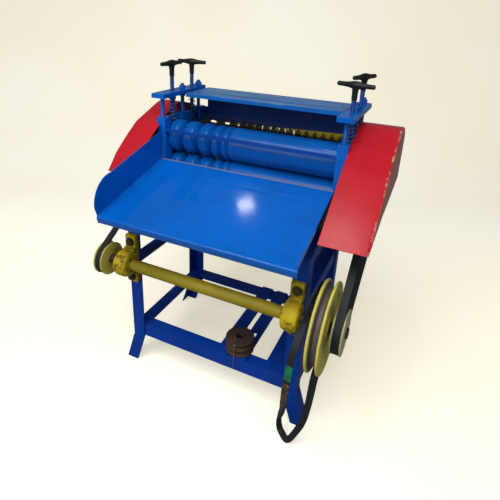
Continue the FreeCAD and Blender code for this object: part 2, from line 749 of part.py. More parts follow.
def make_screw(name, side, row):
    y = ROWS[row][1]
    bottom = ROWS[row][3] + s.block_half_height + s.seat_gap
    height = getattr(s, name + "_handle_z")
    body = new_body("screw_" + name)
    disc(body, f"screw_{name}_rod", "XY", [(side * screw_x, y)], s.screw_radius, bottom,
         height - s.handle_sleeve_length)
    node(body, "screw_" + name)
    handle = new_body("handle_" + name, side * screw_x, y, height)
    handle.Placement = FreeCAD.Placement(handle.Placement.Base, FreeCAD.Rotation(Z_AXIS, 0))
    handle.setExpression(".Placement.Rotation.Angle", getattr(s, name + "_handle_turn").text)
    half = s.handle_half_length
    hub = s.handle_hub_radius
    tip = s.handle_tip_radius
    shoulder = hub * s.handle_hub_shoulder
    ends = [(-half, tip), (-hub, shoulder), (0, hub), (hub, shoulder), (half, tip)]
    rings = [outline(handle, f"handle_{name}_ring_{i}", "YZ", x, polygon(0, 0, radius, 8))
             for i, (x, radius) in enumerate(ends)]
    spindle = handle.newObject("PartDesign::AdditiveLoft", f"handle_{name}_bar")
    spindle.Profile = rings[0]
    spindle.Sections = rings[1:]
    spindle.Ruled = True
    prism(handle, f"handle_{name}_sleeve", "XY", polygon(0, 0, s.handle_sleeve_radius, 8),
          -s.handle_sleeve_length, -hub / 2)
    return node(handle, "handle_" + name)


for name, side, row in HANDLES:
    make_screw(name, side, row)


# Springs: one unbroken wire each, its turns made of tangent arcs.

def tangent_arcs(start, start_way, stop, stop_way):
    """Two arcs that leave one point and reach another in the given directions."""
    across = stop - start
    ways = start_way + stop_way
    spread = 2 * (1 - start_way.dot(stop_way))
    reach = across.dot(ways)
    reach = (math.sqrt(reach * reach + spread * across.dot(across)) - reach) / spread
    first = start + start_way * reach
    second = stop - stop_way * reach
    middle = (first + second) / 2
    edges = []
    for a, corner, b in ((start, first, middle), (middle, second, stop)):
        chord = (a + b) / 2
        half = (b - a).Length / 2
        lean = math.acos(half / (corner - a).Length)
        bulge = (corner - chord).normalize() * half * math.tan(lean / 2)
        edges.append(Part.Arc(a, chord + bulge, b).toShape())
    return edges


def helix_place(x, y, bottom, pitch, quarter):
    """Point and direction of a helix after some quarter turns."""
    around = math.pi / 2 * quarter
    radius = number(s.spring_radius)
    place = FreeCAD.Vector(x + radius * math.cos(around), y + radius * math.sin(around),
                           bottom + pitch * quarter / 4)
    way = FreeCAD.Vector(-radius * math.sin(around), radius * math.cos(around),
                         pitch / (2 * math.pi))
    return place, way.normalize()


def make_spring(x, y, block_top):
    wire = number(s.spring_wire)
    bottom = number(block_top) + number(s.seat_gap) + wire
    top = number(s.bridge_bottom - s.collar_height) - wire
    turns = int(number(s.spring_coils))
    pitch = (top - bottom) / turns
    edges = []
    for quarter in range(0, turns * 4, 2):
        start = helix_place(x, y, bottom, pitch, quarter)
        stop = helix_place(x, y, bottom, pitch, quarter + 2)
        edges += tangent_arcs(*start, *stop)
    start, way = helix_place(x, y, bottom, pitch, 0)
    up = (Z_AXIS - way * way.z).normalize() * wire
    out = way.cross(up)
    section = Part.makePolygon([start + up, start + out, start - up, start - out, start + up])
    coil = Part.Wire(edges).makePipeShell([section], True, False)
    print("spring: gap between turns", round(pitch - 2 * wire, 2), "volume", round(coil.Volume))
    return coil


for row, y, low_z, high_z in SHAFT_ROWS:
    springs = [make_spring(side * number(screw_x), number(y), high_z + s.block_half_height)
               for side in (-1, 1)]
    group(f"{row}_springs", springs)


# Feed rollers: five matching grooves on the left, smooth on the right.

roller_end = s.plate_inner_x - s.end_play
GROOVES = [(getattr(s, f"groove_{i}_x"), getattr(s, f"groove_{i}_half"),
            getattr(s, f"groove_{i}_depth")) for i in range(1, 6)]


def make_feed_roller(label, height, right_end):
    body = new_body(label, 0, s.feed_y, height)
    radius = s.feed_radius
    left_end = plate_outer_x + s.shaft_end
    points = [(-left_end, 0), (-left_end, s.journal_radius), (-roller_end, s.journal_radius),
              (-roller_end, radius)]
    for centre, half, depth in GROOVES:
        points += [(centre - half, radius), (centre, radius - depth), (centre + half, radius)]
    points += [(roller_end, radius), (roller_end, s.journal_radius),
               (right_end, s.journal_radius), (right_end, 0)]
    turn(body, label + "_profile", points, "X")
    return node(body, label)


gear_right = s.gear_x + s.gear_face
make_feed_roller("lower_feed_roller", s.feed_low_z, s.outer_x + s.c_face + s.shaft_end)
make_feed_roller("upper_feed_roller", feed_high_z, gear_right + s.shaft_end / 3)


# Knife shafts, and their blades: one over each groove, then the fine row.

CORE_SIDES = 12
BLADE_SIDES = 24


def make_knife_shaft(label, height, left_end):
    body = new_body(label, 0, s.knife_y, height)
    right_end = gear_right + s.shaft_end / 3
    disc(body, label + "_journals", "YZ", [(0, 0)], s.journal_radius, -left_end, right_end)
    core = polygon(0, 0, s.hub_radius, CORE_SIDES)
    prism(body, label + "_core", "YZ", core, -roller_end, roller_end)
    return node(body, label)


def make_blade(label, x, height):
    """A round knife that fits the shaft's core."""
    body = new_body(label, x, s.knife_y, height)
    blade = polygon(0, 0, s.blade_radius, BLADE_SIDES)
    core = polygon(0, 0, s.hub_radius, CORE_SIDES)
    prism(body, label + "_disc", "YZ", blade, -s.blade_half, s.blade_half)
    prism(body, label + "_bore", "YZ", core, -s.blade_half - 1, s.blade_half + 1, cutting=True)
    return body


left_pulley_outer = s.left_x + s.b_face
make_knife_shaft("lower_knife_shaft", s.knife_low_z, left_pulley_outer + s.shaft_end)
make_knife_shaft("upper_knife_shaft", knife_high_z, plate_outer_x + s.shaft_end)

blade_places = [x for x, half, depth in GROOVES]
blade_places += [s.fine_first_x + s.fine_pitch * i for i in range(int(number(s.fine_count)))]
for level, height in (("lower", s.knife_low_z), ("upper", knife_high_z)):
    gather(level + "_blades", [make_blade(f"{level}_blade_{i}", x, height)
                               for i, x in enumerate(blade_places, start=1)])


# Gears: involute teeth; each pair runs at the shafts' centre distance.

def space_outline(teeth, centre_distance):
    """The gap between two teeth at the top of a gear, from the root outwards."""
    pitch_radius = centre_distance / 2
    module = number(s.gear_module)
    base_radius = pitch_radius * math.cos(math.radians(20))
    root_radius = pitch_radius - 1.25 * module
    outer_radius = pitch_radius + module
    half_tooth = (math.pi * module / 2 - number(s.gear_backlash) / 2) / pitch_radius / 2

    def involute(radius):
        if radius <= base_radius:
            return 0
        angle = math.acos(base_radius / radius)
        return math.tan(angle) - angle

    at_pitch = involute(pitch_radius)
    side = []
    steps = 1
    start = max(base_radius, root_radius)
    heights = [root_radius] + [start + (outer_radius - start) * i / steps
                               for i in range(steps + 1)]
    for radius in heights:
        half_space = math.pi / teeth - (half_tooth + at_pitch - involute(radius))
        side.append((radius * math.sin(half_space), radius * math.cos(half_space)))
    side.append((side[-1][0] * 1.1, outer_radius + 2))
    return side + [(-u, v) for u, v in reversed(side)], outer_radius


def make_gear(label, y, height, centre_distance):
    teeth = round(centre_distance / number(s.gear_module))
    space, outer_radius = space_outline(teeth, centre_distance)
    body = new_body(label, 0, y, height)
    disc(body, label + "_blank", "YZ", [(0, 0)], outer_radius, s.gear_x, gear_right)
    drill(body, label + "_bore", "YZ", [(0, 0)], s.journal_radius, s.gear_x - 1, gear_right + 1)
    gap = prism(body, label + "_space", "YZ", space, s.gear_x - 1, gear_right + 1, cutting=True)
    doc.recompute()
    pattern = body.newObject("PartDesign::PolarPattern", label + "_teeth")
    pattern.Originals = [gap]
    pattern.Axis = (gap.Profile[0], ["N_Axis"])
    pattern.Angle = 360
    pattern.Occurrences = teeth
    body.Tip = pattern
    return node(body, label)


for row, y, low_z, high_z in SHAFT_ROWS:
    distance = number(high_z - low_z)
    make_gear(f"lower_{row}_gear", y, low_z, distance)
    make_gear(f"upper_{row}_gear", y, high_z, distance)


# Pulleys: the groove is the belt's section plus its clearance.

FLANK = math.tan(math.radians(19))


def groove_points(radius, middle, belt_top, belt_height):
    half = belt_top / 2 + s.belt_gap
    mouth = half + s.belt_drop * FLANK
    floor = half - (belt_height + s.groove_floor) * FLANK
    depth = s.belt_drop + belt_height + s.groove_floor
    return [(middle - mouth, radius), (middle - floor, radius - depth),
            (middle + floor, radius - depth), (middle + mouth, radius)]


def make_pulley(label, x, y, z, radius, face, bore, belt_top, belt_height, hollow=False):
    body = new_body(label, x, y, z)
    groove = groove_points(radius, face / 2, belt_top, belt_height)
    left = [(0, bore), (0, radius)]
    right = [(face, radius), (face, bore)]
    if hollow:
        rim = radius - s.belt_drop - belt_height - s.groove_floor - s.rim_wall
        deep = s.web_recess
        inset = s.pulley_hub_inset
        left = [(inset, bore), (inset, s.pulley_hub_radius), (deep, s.pulley_hub_radius),
                (deep, rim - s.rim_slant), (0, rim), (0, radius)]
        right = [(face - u, v) for u, v in reversed(left)]
    turn(body, label + "_profile", left + groove + right, "X")
    return body


shaft_y = -(s.stand_half_depth + s.bearing_height)
node(make_pulley("motor_side_pulley", s.big_x, shaft_y, s.shaft_z, s.big_radius, s.big_face,
                 s.shaft_radius, s.b_top, s.b_height, hollow=True), "motor_side_pulley")
node(make_pulley("right_driven_pulley", s.outer_x, s.feed_y, s.feed_low_z,
                 s.right_driven_radius, s.c_face, s.journal_radius, s.c_top, s.c_height),
     "right_driven_pulley")
node(make_pulley("left_driven_pulley", -left_pulley_outer, s.knife_y, s.knife_low_z,
                 s.left_driven_radius, s.b_face, s.journal_radius, s.b_top, s.b_height),
     "left_driven_pulley")
gather("drive_pulleys", [
    make_pulley("right_drive_pulley", s.outer_x, shaft_y, s.shaft_z, s.outer_radius, s.c_face,
                s.shaft_radius, s.c_top, s.c_height),
    make_pulley("left_drive_pulley", -left_pulley_outer, shaft_y, s.shaft_z, s.left_radius,
                s.b_face, s.shaft_radius, s.b_top, s.b_height)])

countershaft = new_body("countershaft", 0, shaft_y, s.shaft_z)
disc(countershaft, "countershaft_rod", "YZ", [(0, 0)], s.shaft_radius,
     -s.shaft_left_end, s.shaft_right_end)
disc(countershaft, "countershaft_tube", "YZ", [(0, 0)], s.tube_radius,
     -s.tube_half_length, s.tube_half_length)
node(countershaft, "countershaft")


# Belts on two pulleys: a closed loop of two straight runs and two arcs.

def make_belt(label, x, from_y, from_z, from_radius, to_y, to_z, to_radius, top, height):
    start = FreeCAD.Vector(number(x), number(from_y), number(from_z))
    stop = FreeCAD.Vector(number(x), number(to_y), number(to_z))
    small = number(from_radius - s.belt_drop)
    large = number(to_radius - s.belt_drop)
    along = stop - start
    span = along.Length
    along.normalize()
    across = X_AXIS.cross(along)
    lean = (large - small) / span
    flat = math.sqrt(1 - lean * lean)
    upper = across * flat - along * lean
    lower = across * -flat - along * lean
    a, b = start + upper * small, stop + upper * large
    c, d = stop + lower * large, start + lower * small
    path = Part.Wire([
        Part.makeLine(a, b),
        Part.Arc(b, stop + along * large, c).toShape(),
        Part.makeLine(c, d),
        Part.Arc(d, start - along * small, a).toShape(),
    ])
    half = number(top) / 2
    narrow = half - number(height) * FLANK
    inward = upper * -number(height)
    section = Part.makePolygon([
        a - X_AXIS * half, a + X_AXIS * half, a + X_AXIS * narrow + inward,
        a - X_AXIS * narrow + inward, a - X_AXIS * half])
    belt = doc.addObject("Part::Feature", label)
    belt.Shape = path.makePipeShell([section], True, False)
    return node(belt, label)


make_belt("left_belt", -s.left_x - s.b_face / 2, shaft_y, s.shaft_z, s.left_radius,
          s.knife_y, s.knife_low_z, s.left_driven_radius, s.b_top, s.b_height)
make_belt("right_belt", s.outer_x + s.c_face / 2, shaft_y, s.shaft_z, s.outer_radius,
          s.feed_y, s.feed_low_z, s.right_driven_radius, s.c_top, s.c_height)


# Pillow blocks on the front legs, with the inner rings that turn in them.

NECK_SHARE = 0.9


def make_pillow(label, side):
    """A foot on the leg and a crowned housing, turned about the shaft's axis."""
    middle = side * (s.stand_half_width - s.angle_leg / 2)
    body = new_body(label, middle, shaft_y, s.shaft_z)
    wide = s.pillow_width / 2
    half = s.pillow_length / 2
    back = s.bearing_height
    front = back - s.pillow_base
    seat = half * s.pillow_seat_share
    neck = s.pillow_hub_radius * NECK_SHARE
    foot = [
        (back, -half), (back, half), (front, half), (front, seat), (0, neck),
        (0, -neck), (front, -seat), (front, -half),
    ]
    foot_wide = wide - s.pillow_foot_inset
    prism(body, label + "_foot", "YZ", foot, -foot_wide, foot_wide)
    rounded = s.pillow_hub_radius * s.pillow_round_share
    housing = [
        (-wide, 0), (-wide, s.pillow_end_radius), (-wide / 2, rounded),
        (0, s.pillow_hub_radius), (wide / 2, rounded), (wide, s.pillow_end_radius), (wide, 0),
    ]
    turn(body, label + "_housing", housing, "X")
    drill(body, label + "_bore", "YZ", [(0, 0)], s.shaft_radius + s.ring_wall + s.seat_gap,
          -wide - 1, wide + 1)
    return node(body, label)


make_pillow("pillow_block_left", -1)
make_pillow("pillow_block_right", 1)

rings = []
heads = []
for side in (-1, 1):
    middle = side * (s.stand_half_width - s.angle_leg / 2)
    length = s.pillow_width + s.ring_proud * 2
    low = middle - length / 2
    ring = bar(low, shaft_y, s.shaft_z, s.shaft_radius + s.ring_wall, length, X_AXIS, sides=16)
    hole = rod(low - 1, shaft_y, s.shaft_z, s.shaft_radius, length + 2, X_AXIS)
    rings.append(ring.cut(hole))
    for end in (-1, 1):
        z = s.shaft_z + end * s.pillow_bolt_spacing / 2
        front = -s.stand_half_depth - s.pillow_base
        heads.append(bar(middle, front - s.pillow_bolt_head, z, s.post_nut_radius,
                         s.pillow_bolt_head, Y_AXIS))
        heads.append(bar(middle, -s.stand_half_depth + s.angle_wall, z, s.post_nut_radius,
                         s.pillow_bolt_head, Y_AXIS))
group("bearing_rings", rings)


# Cover, plate behind the knives, comb and guide bar.

cover_back = s.comb_front + s.cover_wall
cover = new_body("top_cover")
prism(cover, "cover_sheet", "XY",
      rectangle(-s.cover_half_width, s.cover_half_width, s.cover_front, cover_back),
      s.cover_top - s.cover_wall, s.cover_top)
prism(cover, "cover_lip", "XZ",
      rectangle(-s.cover_half_width, s.cover_half_width, s.cover_top - s.cover_lip,
                s.cover_top),
      s.cover_front, s.cover_front + s.cover_wall)
node(cover, "top_cover")

back_plate = new_body("back_plate")
prism(back_plate, "back_sheet", "XZ",
      rectangle(-s.cover_half_width, s.cover_half_width, s.comb_top,
                s.cover_top - s.cover_wall),
      s.comb_front, cover_back)
prism(back_plate, "back_ears", "XZ",
      rectangle(-s.plate_inner_x, s.plate_inner_x, s.comb_top, s.plate_top),
      s.comb_front, cover_back)
node(back_plate, "back_plate")

comb = new_body("guide_comb")
comb_bottom = s.comb_top - s.comb_height
comb_back = s.comb_front + s.comb_thickness
prism(comb, "comb_plate", "XZ",
      rectangle(-s.plate_inner_x, s.plate_inner_x, comb_bottom, s.comb_top),
      s.comb_front, comb_back)
for index, (centre, half, depth) in enumerate(GROOVES, start=1):
    arch = [
        (centre - half, comb_bottom - 1), (centre - half * 0.92, comb_bottom + half * 0.5),
        (centre - half * 0.5, comb_bottom + half * 0.9), (centre, comb_bottom + half),
        (centre + half * 0.5, comb_bottom + half * 0.9),
        (centre + half * 0.92, comb_bottom + half * 0.5), (centre + half, comb_bottom - 1),
    ]
    prism(comb, f"comb_arch_{index}", "XZ", arch, s.comb_front - 1, comb_back + 1,
          cutting=True)
slot = prism(comb, "comb_slot", "XZ",
             rectangle(s.comb_slot_x, s.comb_slot_x + s.comb_slot_width, comb_bottom - 1,
                       comb_bottom + s.comb_slot_height),
             s.comb_front - 1, comb_back + 1, cutting=True)
notch = [
    (s.comb_scallop_x - s.comb_scallop_radius, comb_bottom - 1),
    (s.comb_scallop_x, comb_bottom + s.comb_scallop_radius),
    (s.comb_scallop_x + s.comb_scallop_radius, comb_bottom - 1),
]
scallop = prism(comb, "comb_scallop", "XZ", notch, s.comb_front - 1, comb_back + 1,
                cutting=True)


def repeat_along_x(body, name, feature, pitch, count):
    doc.recompute()
    pattern = body.newObject("PartDesign::LinearPattern", name)
    pattern.Originals = [feature]
    pattern.Direction = (feature.Profile[0], ["H_Axis"])
    pattern.Occurrences = int(number(count))
    pattern.setExpression("Length", (pitch * (number(count) - 1)).text)
    body.Tip = pattern
    return pattern


repeat_along_x(comb, "comb_slots", slot, s.comb_slot_pitch, s.comb_slot_count)
repeat_along_x(comb, "comb_scallops", scallop, s.comb_scallop_pitch, s.comb_scallop_count)
node(comb, "guide_comb")

guide_bar = new_body("guide_bar")
prism(guide_bar, "guide_bar_strip", "YZ",
      rectangle(0, s.guide_bar_depth, s.guide_bar_z - s.guide_bar_height / 2,
                s.guide_bar_z + s.guide_bar_height / 2),
      -s.plate_inner_x, s.plate_inner_x)
node(guide_bar, "guide_bar")


# Tray in front of the rollers, its wear strip and its supports.

rear = s.strip_depth
front = s.tray_front_y
slope = (s.tray_rear_z - s.tray_front_z) / (front - rear)


def tray_floor(distance):
    """Height of the tray's floor at a distance in front of the side plates."""
    return s.tray_rear_z - slope * (distance - rear)


wall = s.tray_wall
nose = s.tray_nose
lip_bottom = s.tray_front_z - s.tray_lip
tray = new_body("feed_tray")
floor_profile = [
    (-rear, s.tray_rear_z), (-front, s.tray_front_z), (-front - nose, s.tray_front_z - nose),
    (-front, lip_bottom), (-front + wall, lip_bottom),
    (-front - nose + wall, s.tray_front_z - nose - wall / 2), (-front, s.tray_front_z - wall),
    (-rear, s.tray_rear_z - wall),
]
prism(tray, "tray_floor", "YZ", floor_profile, -s.tray_left_x, s.tray_right_x)


def wall_corner(steps):
    """The left wall's round front corner: a quarter of an ellipse, from the top down."""
    corner_y = front + nose + 6 - s.tray_corner_length
    top = tray_floor(corner_y) + s.tray_side_height
    places = []
    for step in range(steps + 1):
        around = math.pi / 2 * step / steps
        y = corner_y + s.tray_corner_length * math.sin(around)
        z = top - s.tray_corner_height * (1 - math.cos(around))
        places.append((-y, z))
    return places


left_profile = [(-rear, s.tray_rear_z - wall), (-rear, s.tray_rear_z + s.tray_side_height)]
left_profile += wall_corner(4)
left_profile += [(-front - nose, s.tray_front_z - nose), (-front, s.tray_front_z - wall)]
prism(tray, "tray_left_wall", "YZ", left_profile, -s.tray_left_x, -s.tray_left_x + wall)
right_profile = [
    (-rear, s.tray_rear_z - wall), (-rear, s.tray_rear_z + s.tray_edge_height),
    (-front, s.tray_front_z + s.tray_edge_height), (-front, s.tray_front_z - wall),
]
prism(tray, "tray_right_lip", "YZ", right_profile, s.tray_right_x - wall, s.tray_right_x)
node(tray, "feed_tray")

strip = new_body("wear_strip")
strip_outline = rectangle(-s.strip_depth, 0, s.tray_rear_z - s.strip_height, s.tray_rear_z)
prism(strip, "wear_strip_bar", "YZ", strip_outline, -s.tray_left_x, s.tray_right_x)
node(strip, "wear_strip")

supports = []
for side, name in ((-1, "left"), (1, "right")):
    support = new_body("tray_support_" + name)
    near = s.support_y - s.support_depth / 2
    far = s.support_y + s.support_depth / 2
    post = [(-far, s.stand_top), (-near, s.stand_top), (-near, tray_floor(near) - wall),
            (-far, tray_floor(far) - wall)]
    low, high = side_range(side, s.support_inner_x, s.support_inner_x + s.support_width)
    prism(support, f"tray_support_{name}_post", "YZ", post, low, high)
    supports.append(support)
gather("tray_supports", supports)


# Outlet chute behind the knives.

chute_top = s.knife_low_z - s.chute_start_drop
chute_low = chute_top - s.chute_drop
chute_start = s.knife_y + s.blade_radius + s.chute_blade_gap
chute_end = chute_start + s.chute_length
chute = new_body("outlet_chute")
chute_floor = [(chute_start, chute_top), (chute_end, chute_low),
               (chute_end, chute_low - s.cover_wall), (chute_start, chute_top - s.cover_wall)]
prism(chute, "chute_floor", "YZ", chute_floor, -s.plate_inner_x, s.plate_inner_x)
cheek = [(chute_start, chute_top - s.cover_wall), (chute_start, chute_top + s.chute_cheek_rear),
         (chute_end, chute_low + s.chute_cheek_end), (chute_end, chute_low - s.cover_wall)]
for side, name in ((-1, "left"), (1, "right")):
    low, high = side_range(side, s.plate_inner_x - s.cover_wall, s.plate_inner_x)
    prism(chute, f"chute_{name}_cheek", "YZ", cheek, low, high)
node(chute, "outlet_chute")


# Belt guards: a bent sheet over the drive, an outer cheek and a flange on the plate.

def make_guard(label, side, outer_x, roof, cheek_bottom):
    """The roof runs from the front bottom corner over the top to the back."""
    body = new_body(label)
    wall = s.guard_wall
    inner = [(y + dy * wall, z + dz * wall) for (y, z), (dy, dz) in zip(roof, roof_inward(roof))]
    low, high = side_range(side, plate_outer_x, outer_x)
    prism(body, label + "_roof", "YZ", roof + inner[::-1], low, high)
    low, high = side_range(side, outer_x - wall, outer_x)
    prism(body, label + "_cheek", "YZ", roof + cheek_bottom, low, high)
    flange_z = s.plate_top - s.flange_depth
    ends = (number(s.flange_inset), number(s.flange_end))
    flange = [(y, z) for y, z in roof if ends[0] < number(y) < ends[1]]
    flange = [(ends[0], flange_z), (ends[0], roof_height(roof, ends[0]))] + flange
    flange += [(ends[1], roof_height(roof, ends[1])), (ends[1], flange_z)]
    low, high = side_range(side, plate_outer_x, plate_outer_x + wall)
    prism(body, label + "_flange", "YZ", flange, low, high)
    return body


def roof_inward(roof):
    """Directions that take each corner of a roof one sheet inwards."""
    flat = [(number(y), number(z)) for y, z in roof]
    ways = []
    for index, here in enumerate(flat):
        before = flat[max(index - 1, 0)]
        after = flat[min(index + 1, len(flat) - 1)]
        first = unit_right(before, here) if index else unit_right(here, after)
        second = unit_right(here, after) if index < len(flat) - 1 else first
        spread = 1 + first[0] * second[0] + first[1] * second[1]
        ways.append(((first[0] + second[0]) / spread, (first[1] + second[1]) / spread))
    return ways


def unit_right(a, b):
    length = math.hypot(b[0] - a[0], b[1] - a[1])
    return ((b[1] - a[1]) / length, -(b[0] - a[0]) / length)


def roof_height(roof, y):
    """Height of a roof's outside over a place, between its corners."""
    for (y0, z0), (y1, z1) in zip(roof, roof[1:]):
        if number(y0) <= y <= number(y1) and number(y1) > number(y0):
            share = (y - number(y0)) / (number(y1) - number(y0))
            return z0 + (z1 - z0) * share
    return s.guard_top


knee = s.guard_knee_z


def guard_back(crown, shoulder, back_y, upright, bottom):
    """The part of a guard's outline from the crown's rear end to its lower back corner."""
    return [crown, shoulder, (back_y, upright), (back_y, bottom)]


right_roof = [
    (-s.right_nose_y, s.right_nose_z), (-s.right_slope_y, knee + s.right_slope_rise),
    (s.guard_shoulder_y, s.guard_top - s.guard_shoulder_drop),
    (s.right_crown_y - s.guard_crown_length / 2, s.guard_top - s.guard_shoulder_drop / 3),
    (s.right_crown_y, s.guard_top),
]
right_roof += guard_back(
    (s.right_crown_y + s.guard_crown_length, s.guard_top - s.guard_shoulder_drop / 2),
    (s.right_back_y - s.right_rear_inset, s.guard_top - s.guard_rear_drop),
    s.right_back_y, s.right_back_z, s.right_guard_bottom + s.right_back_end)
right_bottom = [(s.right_cheek_y, s.right_guard_bottom),
                (-s.right_cheek_front, s.right_guard_bottom)]
node(make_guard("belt_guard_right", 1, s.right_guard_x, right_roof, right_bottom),
     "belt_guard_right")

left_top = s.guard_top - s.left_guard_lower
left_front = [
    (-s.left_nose_y, s.left_nose_z), (-s.left_low_y, s.left_low_z),
    (-s.left_middle_y, s.left_middle_z), (-s.left_high_y, s.left_high_z),
]
left_roof = left_front + [
    (s.guard_crown_y, left_top - s.left_guard_lower / 3),
    (s.guard_crown_y + s.guard_crown_length / 3, left_top),
]
left_roof += guard_back(
    (s.guard_crown_y + s.guard_crown_length, left_top - s.left_guard_lower / 2),
    (s.guard_back_y - s.guard_rear_inset, left_top - s.guard_rear_drop),
    s.guard_back_y, knee + s.guard_back_rise, s.guard_bottom)
left_bottom = [(s.left_cheek_y, s.guard_bottom),
               (-s.left_cheek_low_y, s.guard_bottom + s.left_cheek_rise)]
left_guard = make_guard("belt_guard_left", -1, s.left_guard_x, left_roof, left_bottom)
apron = left_front + [(y + dy * s.guard_wall, z + dz * s.guard_wall)
                      for (y, z), (dy, dz) in zip(left_front, roof_inward(left_front))][::-1]
prism(left_guard, "belt_guard_left_apron", "YZ", apron, -plate_outer_x, -s.left_apron_x)
node(left_guard, "belt_guard_left")


# Bolts that hold the head together.

def cross_bolt(side, y, z, x):
    """A hexagonal head on the outer face of something, pointing outwards."""
    start = formula(x) if side > 0 else -formula(x)
    return bar(start, y, z, s.bolt_head_radius, s.bolt_head_height, X_AXIS * side)


flange_bolt_z = s.plate_top - s.flange_bolt_drop
foot_top = s.stand_top + s.plate_foot_thickness
for side in (-1, 1):
    for y in (s.flange_bolt_front, s.flange_bolt_rear):
        heads.append(cross_bolt(side, y, flange_bolt_z, plate_outer_x + s.guard_wall))
    for y in (s.foot_bolt_front, s.foot_bolt_rear):
        middle = side * (s.plate_inner_x - s.plate_foot_width / 2)
        heads.append(bar(middle, y, foot_top, s.bolt_head_radius, s.bolt_head_height))
group("bolts", heads)


# Loose pieces: a rusty pulley on the slats with a tie wire, and a motor belt.

slat_top = s.low_rail_top + s.slat_thickness
loose_x = s.slat_centre_x + s.loose_offset_x
loose = new_body("loose_pulley", loose_x, -s.loose_y, slat_top)
radius = s.loose_radius
rim = s.loose_rim
groove = s.loose_groove_width
floor = radius - s.loose_groove_depth
second = rim * 2 + groove
loose_profile = [
    (s.loose_bore, 0), (radius, 0), (radius, rim), (floor, rim + groove / 2),
    (radius, rim + groove), (radius, second), (floor, second + groove / 2),
    (radius, second + groove), (radius, s.loose_height), (s.loose_bore, s.loose_height),
]
turn(loose, "loose_profile", loose_profile, "Z")
node(loose, "loose_pulley")


def rounded_path(corners, radius):
    """Straight runs joined by tangent arcs of one radius."""
    edges = []
    last = corners[0]
    for before, corner, after in zip(corners, corners[1:], corners[2:]):
        back = (before - corner).normalize()
        onward = (after - corner).normalize()
        half_turn = math.acos(-back.dot(onward)) / 2
        reach = radius * math.tan(half_turn)
        enter = corner + back * reach
        leave = corner + onward * reach
        centre_way = (back + onward).normalize()
        middle = corner + centre_way * (radius / math.cos(half_turn) - radius)
        edges.append(Part.makeLine(last, enter))
        edges.append(Part.Arc(enter, middle, leave).toShape())
        last = leave
    edges.append(Part.makeLine(last, corners[-1]))
    return Part.Wire(edges)


loose_top = slat_top + s.loose_height
wire_z = loose_top + s.tie_wire_radius + s.tie_wire_gap
rim_y = -s.loose_y - s.loose_radius
wire_corners = [
    point(loose_x + 1, -s.loose_y - 7, loose_top - 28), point(loose_x + 1, -s.loose_y - 7, wire_z),
    point(loose_x + 2, rim_y - 3, wire_z),
    point(loose_x + 3, -s.stand_half_depth - 3, loose_top - 66),
]
path = rounded_path(wire_corners, number(s.tie_wire_bend))
across = (X_AXIS + Y_AXIS) * number(s.tie_wire_radius)
along = (X_AXIS - Y_AXIS) * number(s.tie_wire_radius)
corner = wire_corners[0]
ring = Part.makePolygon([corner + across, corner + along, corner - across, corner - along,
                         corner + across])
tie_wire = doc.addObject("Part::Feature", "tie_wire")
tie_wire.Shape = path.makePipeShell([ring], True, False)
node(tie_wire, "tie_wire")


# The loose motor belt: over the countershaft beside the motor pulley, behind the
# pulley's inner rim into its groove, out of it below, down to the floor and up again.

groove_x = number(s.big_x + s.big_face / 2)
axis_y = number(shaft_y)
axis_z = number(s.shaft_z)
seat_radius = number(s.big_radius - s.belt_drop - s.b_height / 2)
half_thick = number(s.b_height / 2)


def on_pulley(x, degrees, radius):
    """A place around the motor pulley and the way outwards there."""
    out = (0, math.cos(math.radians(degrees)), math.sin(math.radians(degrees)))
    return (x, axis_y + radius * out[1], axis_z + radius * out[2]), out


over_rim = number(s.big_radius) + half_thick
over_shaft = number(s.shaft_radius) + half_thick + 0.6
belt_rows = [
    ((groove_x - 33, axis_y, axis_z + over_shaft), (0, 0, 1)),
    ((groove_x - 33, axis_y + 52, axis_z + over_shaft + 7), (0, 0.1, 1)),
    on_pulley(groove_x - 29, 16, over_rim + 10), on_pulley(groove_x - 16, 1, over_rim + 9),
    on_pulley(groove_x - 4, -13, over_rim + 4), on_pulley(groove_x - 0.3, -27, over_rim - 5),
]
belt_rows += [on_pulley(groove_x, degrees, seat_radius) for degrees in (-42, -58, -74, -90)]
belt_rows += [
    ((groove_x, axis_y - 24, axis_z - 98), (0, 0.1, -1)),
    ((groove_x - 1, axis_y - 40, axis_z - 121), (0, 0.8, -0.6)),
    ((groove_x - 4, axis_y - 38, axis_z - 160), (0.1, 1, 0)),
    ((groove_x - 17, axis_y - 18, 94), (0.6, 0.8, 0)),
    ((groove_x - 33, axis_y - 20, 42), (1, 0.3, 0)),
    ((groove_x - 48, axis_y - 18, 11), (0.4, 0, -1)),
    ((groove_x - 62, axis_y - 8, 7.5), (-0.2, 0, -1)),
    ((groove_x - 76, axis_y + 2, 15), (-0.8, 0, -0.6)),
    ((groove_x - 78, axis_y - 4, 52), (-1, -0.1, 0)),
    ((groove_x - 66, axis_y - 28, 104), (-0.9, -0.5, 0)),
    ((groove_x - 54, axis_y - 62, 176), (-0.5, -0.9, 0)),
    ((groove_x - 46, axis_y - 84, 244), (-0.2, -1, 0.1)),
    ((groove_x - 42, axis_y - 84, 300), (-0.2, -1, 0.3)),
    ((groove_x - 38, axis_y - 68, 344), (-0.2, -0.8, 0.6)),
    ((groove_x - 35, axis_y - 36, 369), (-0.1, -0.4, 0.9)),
]


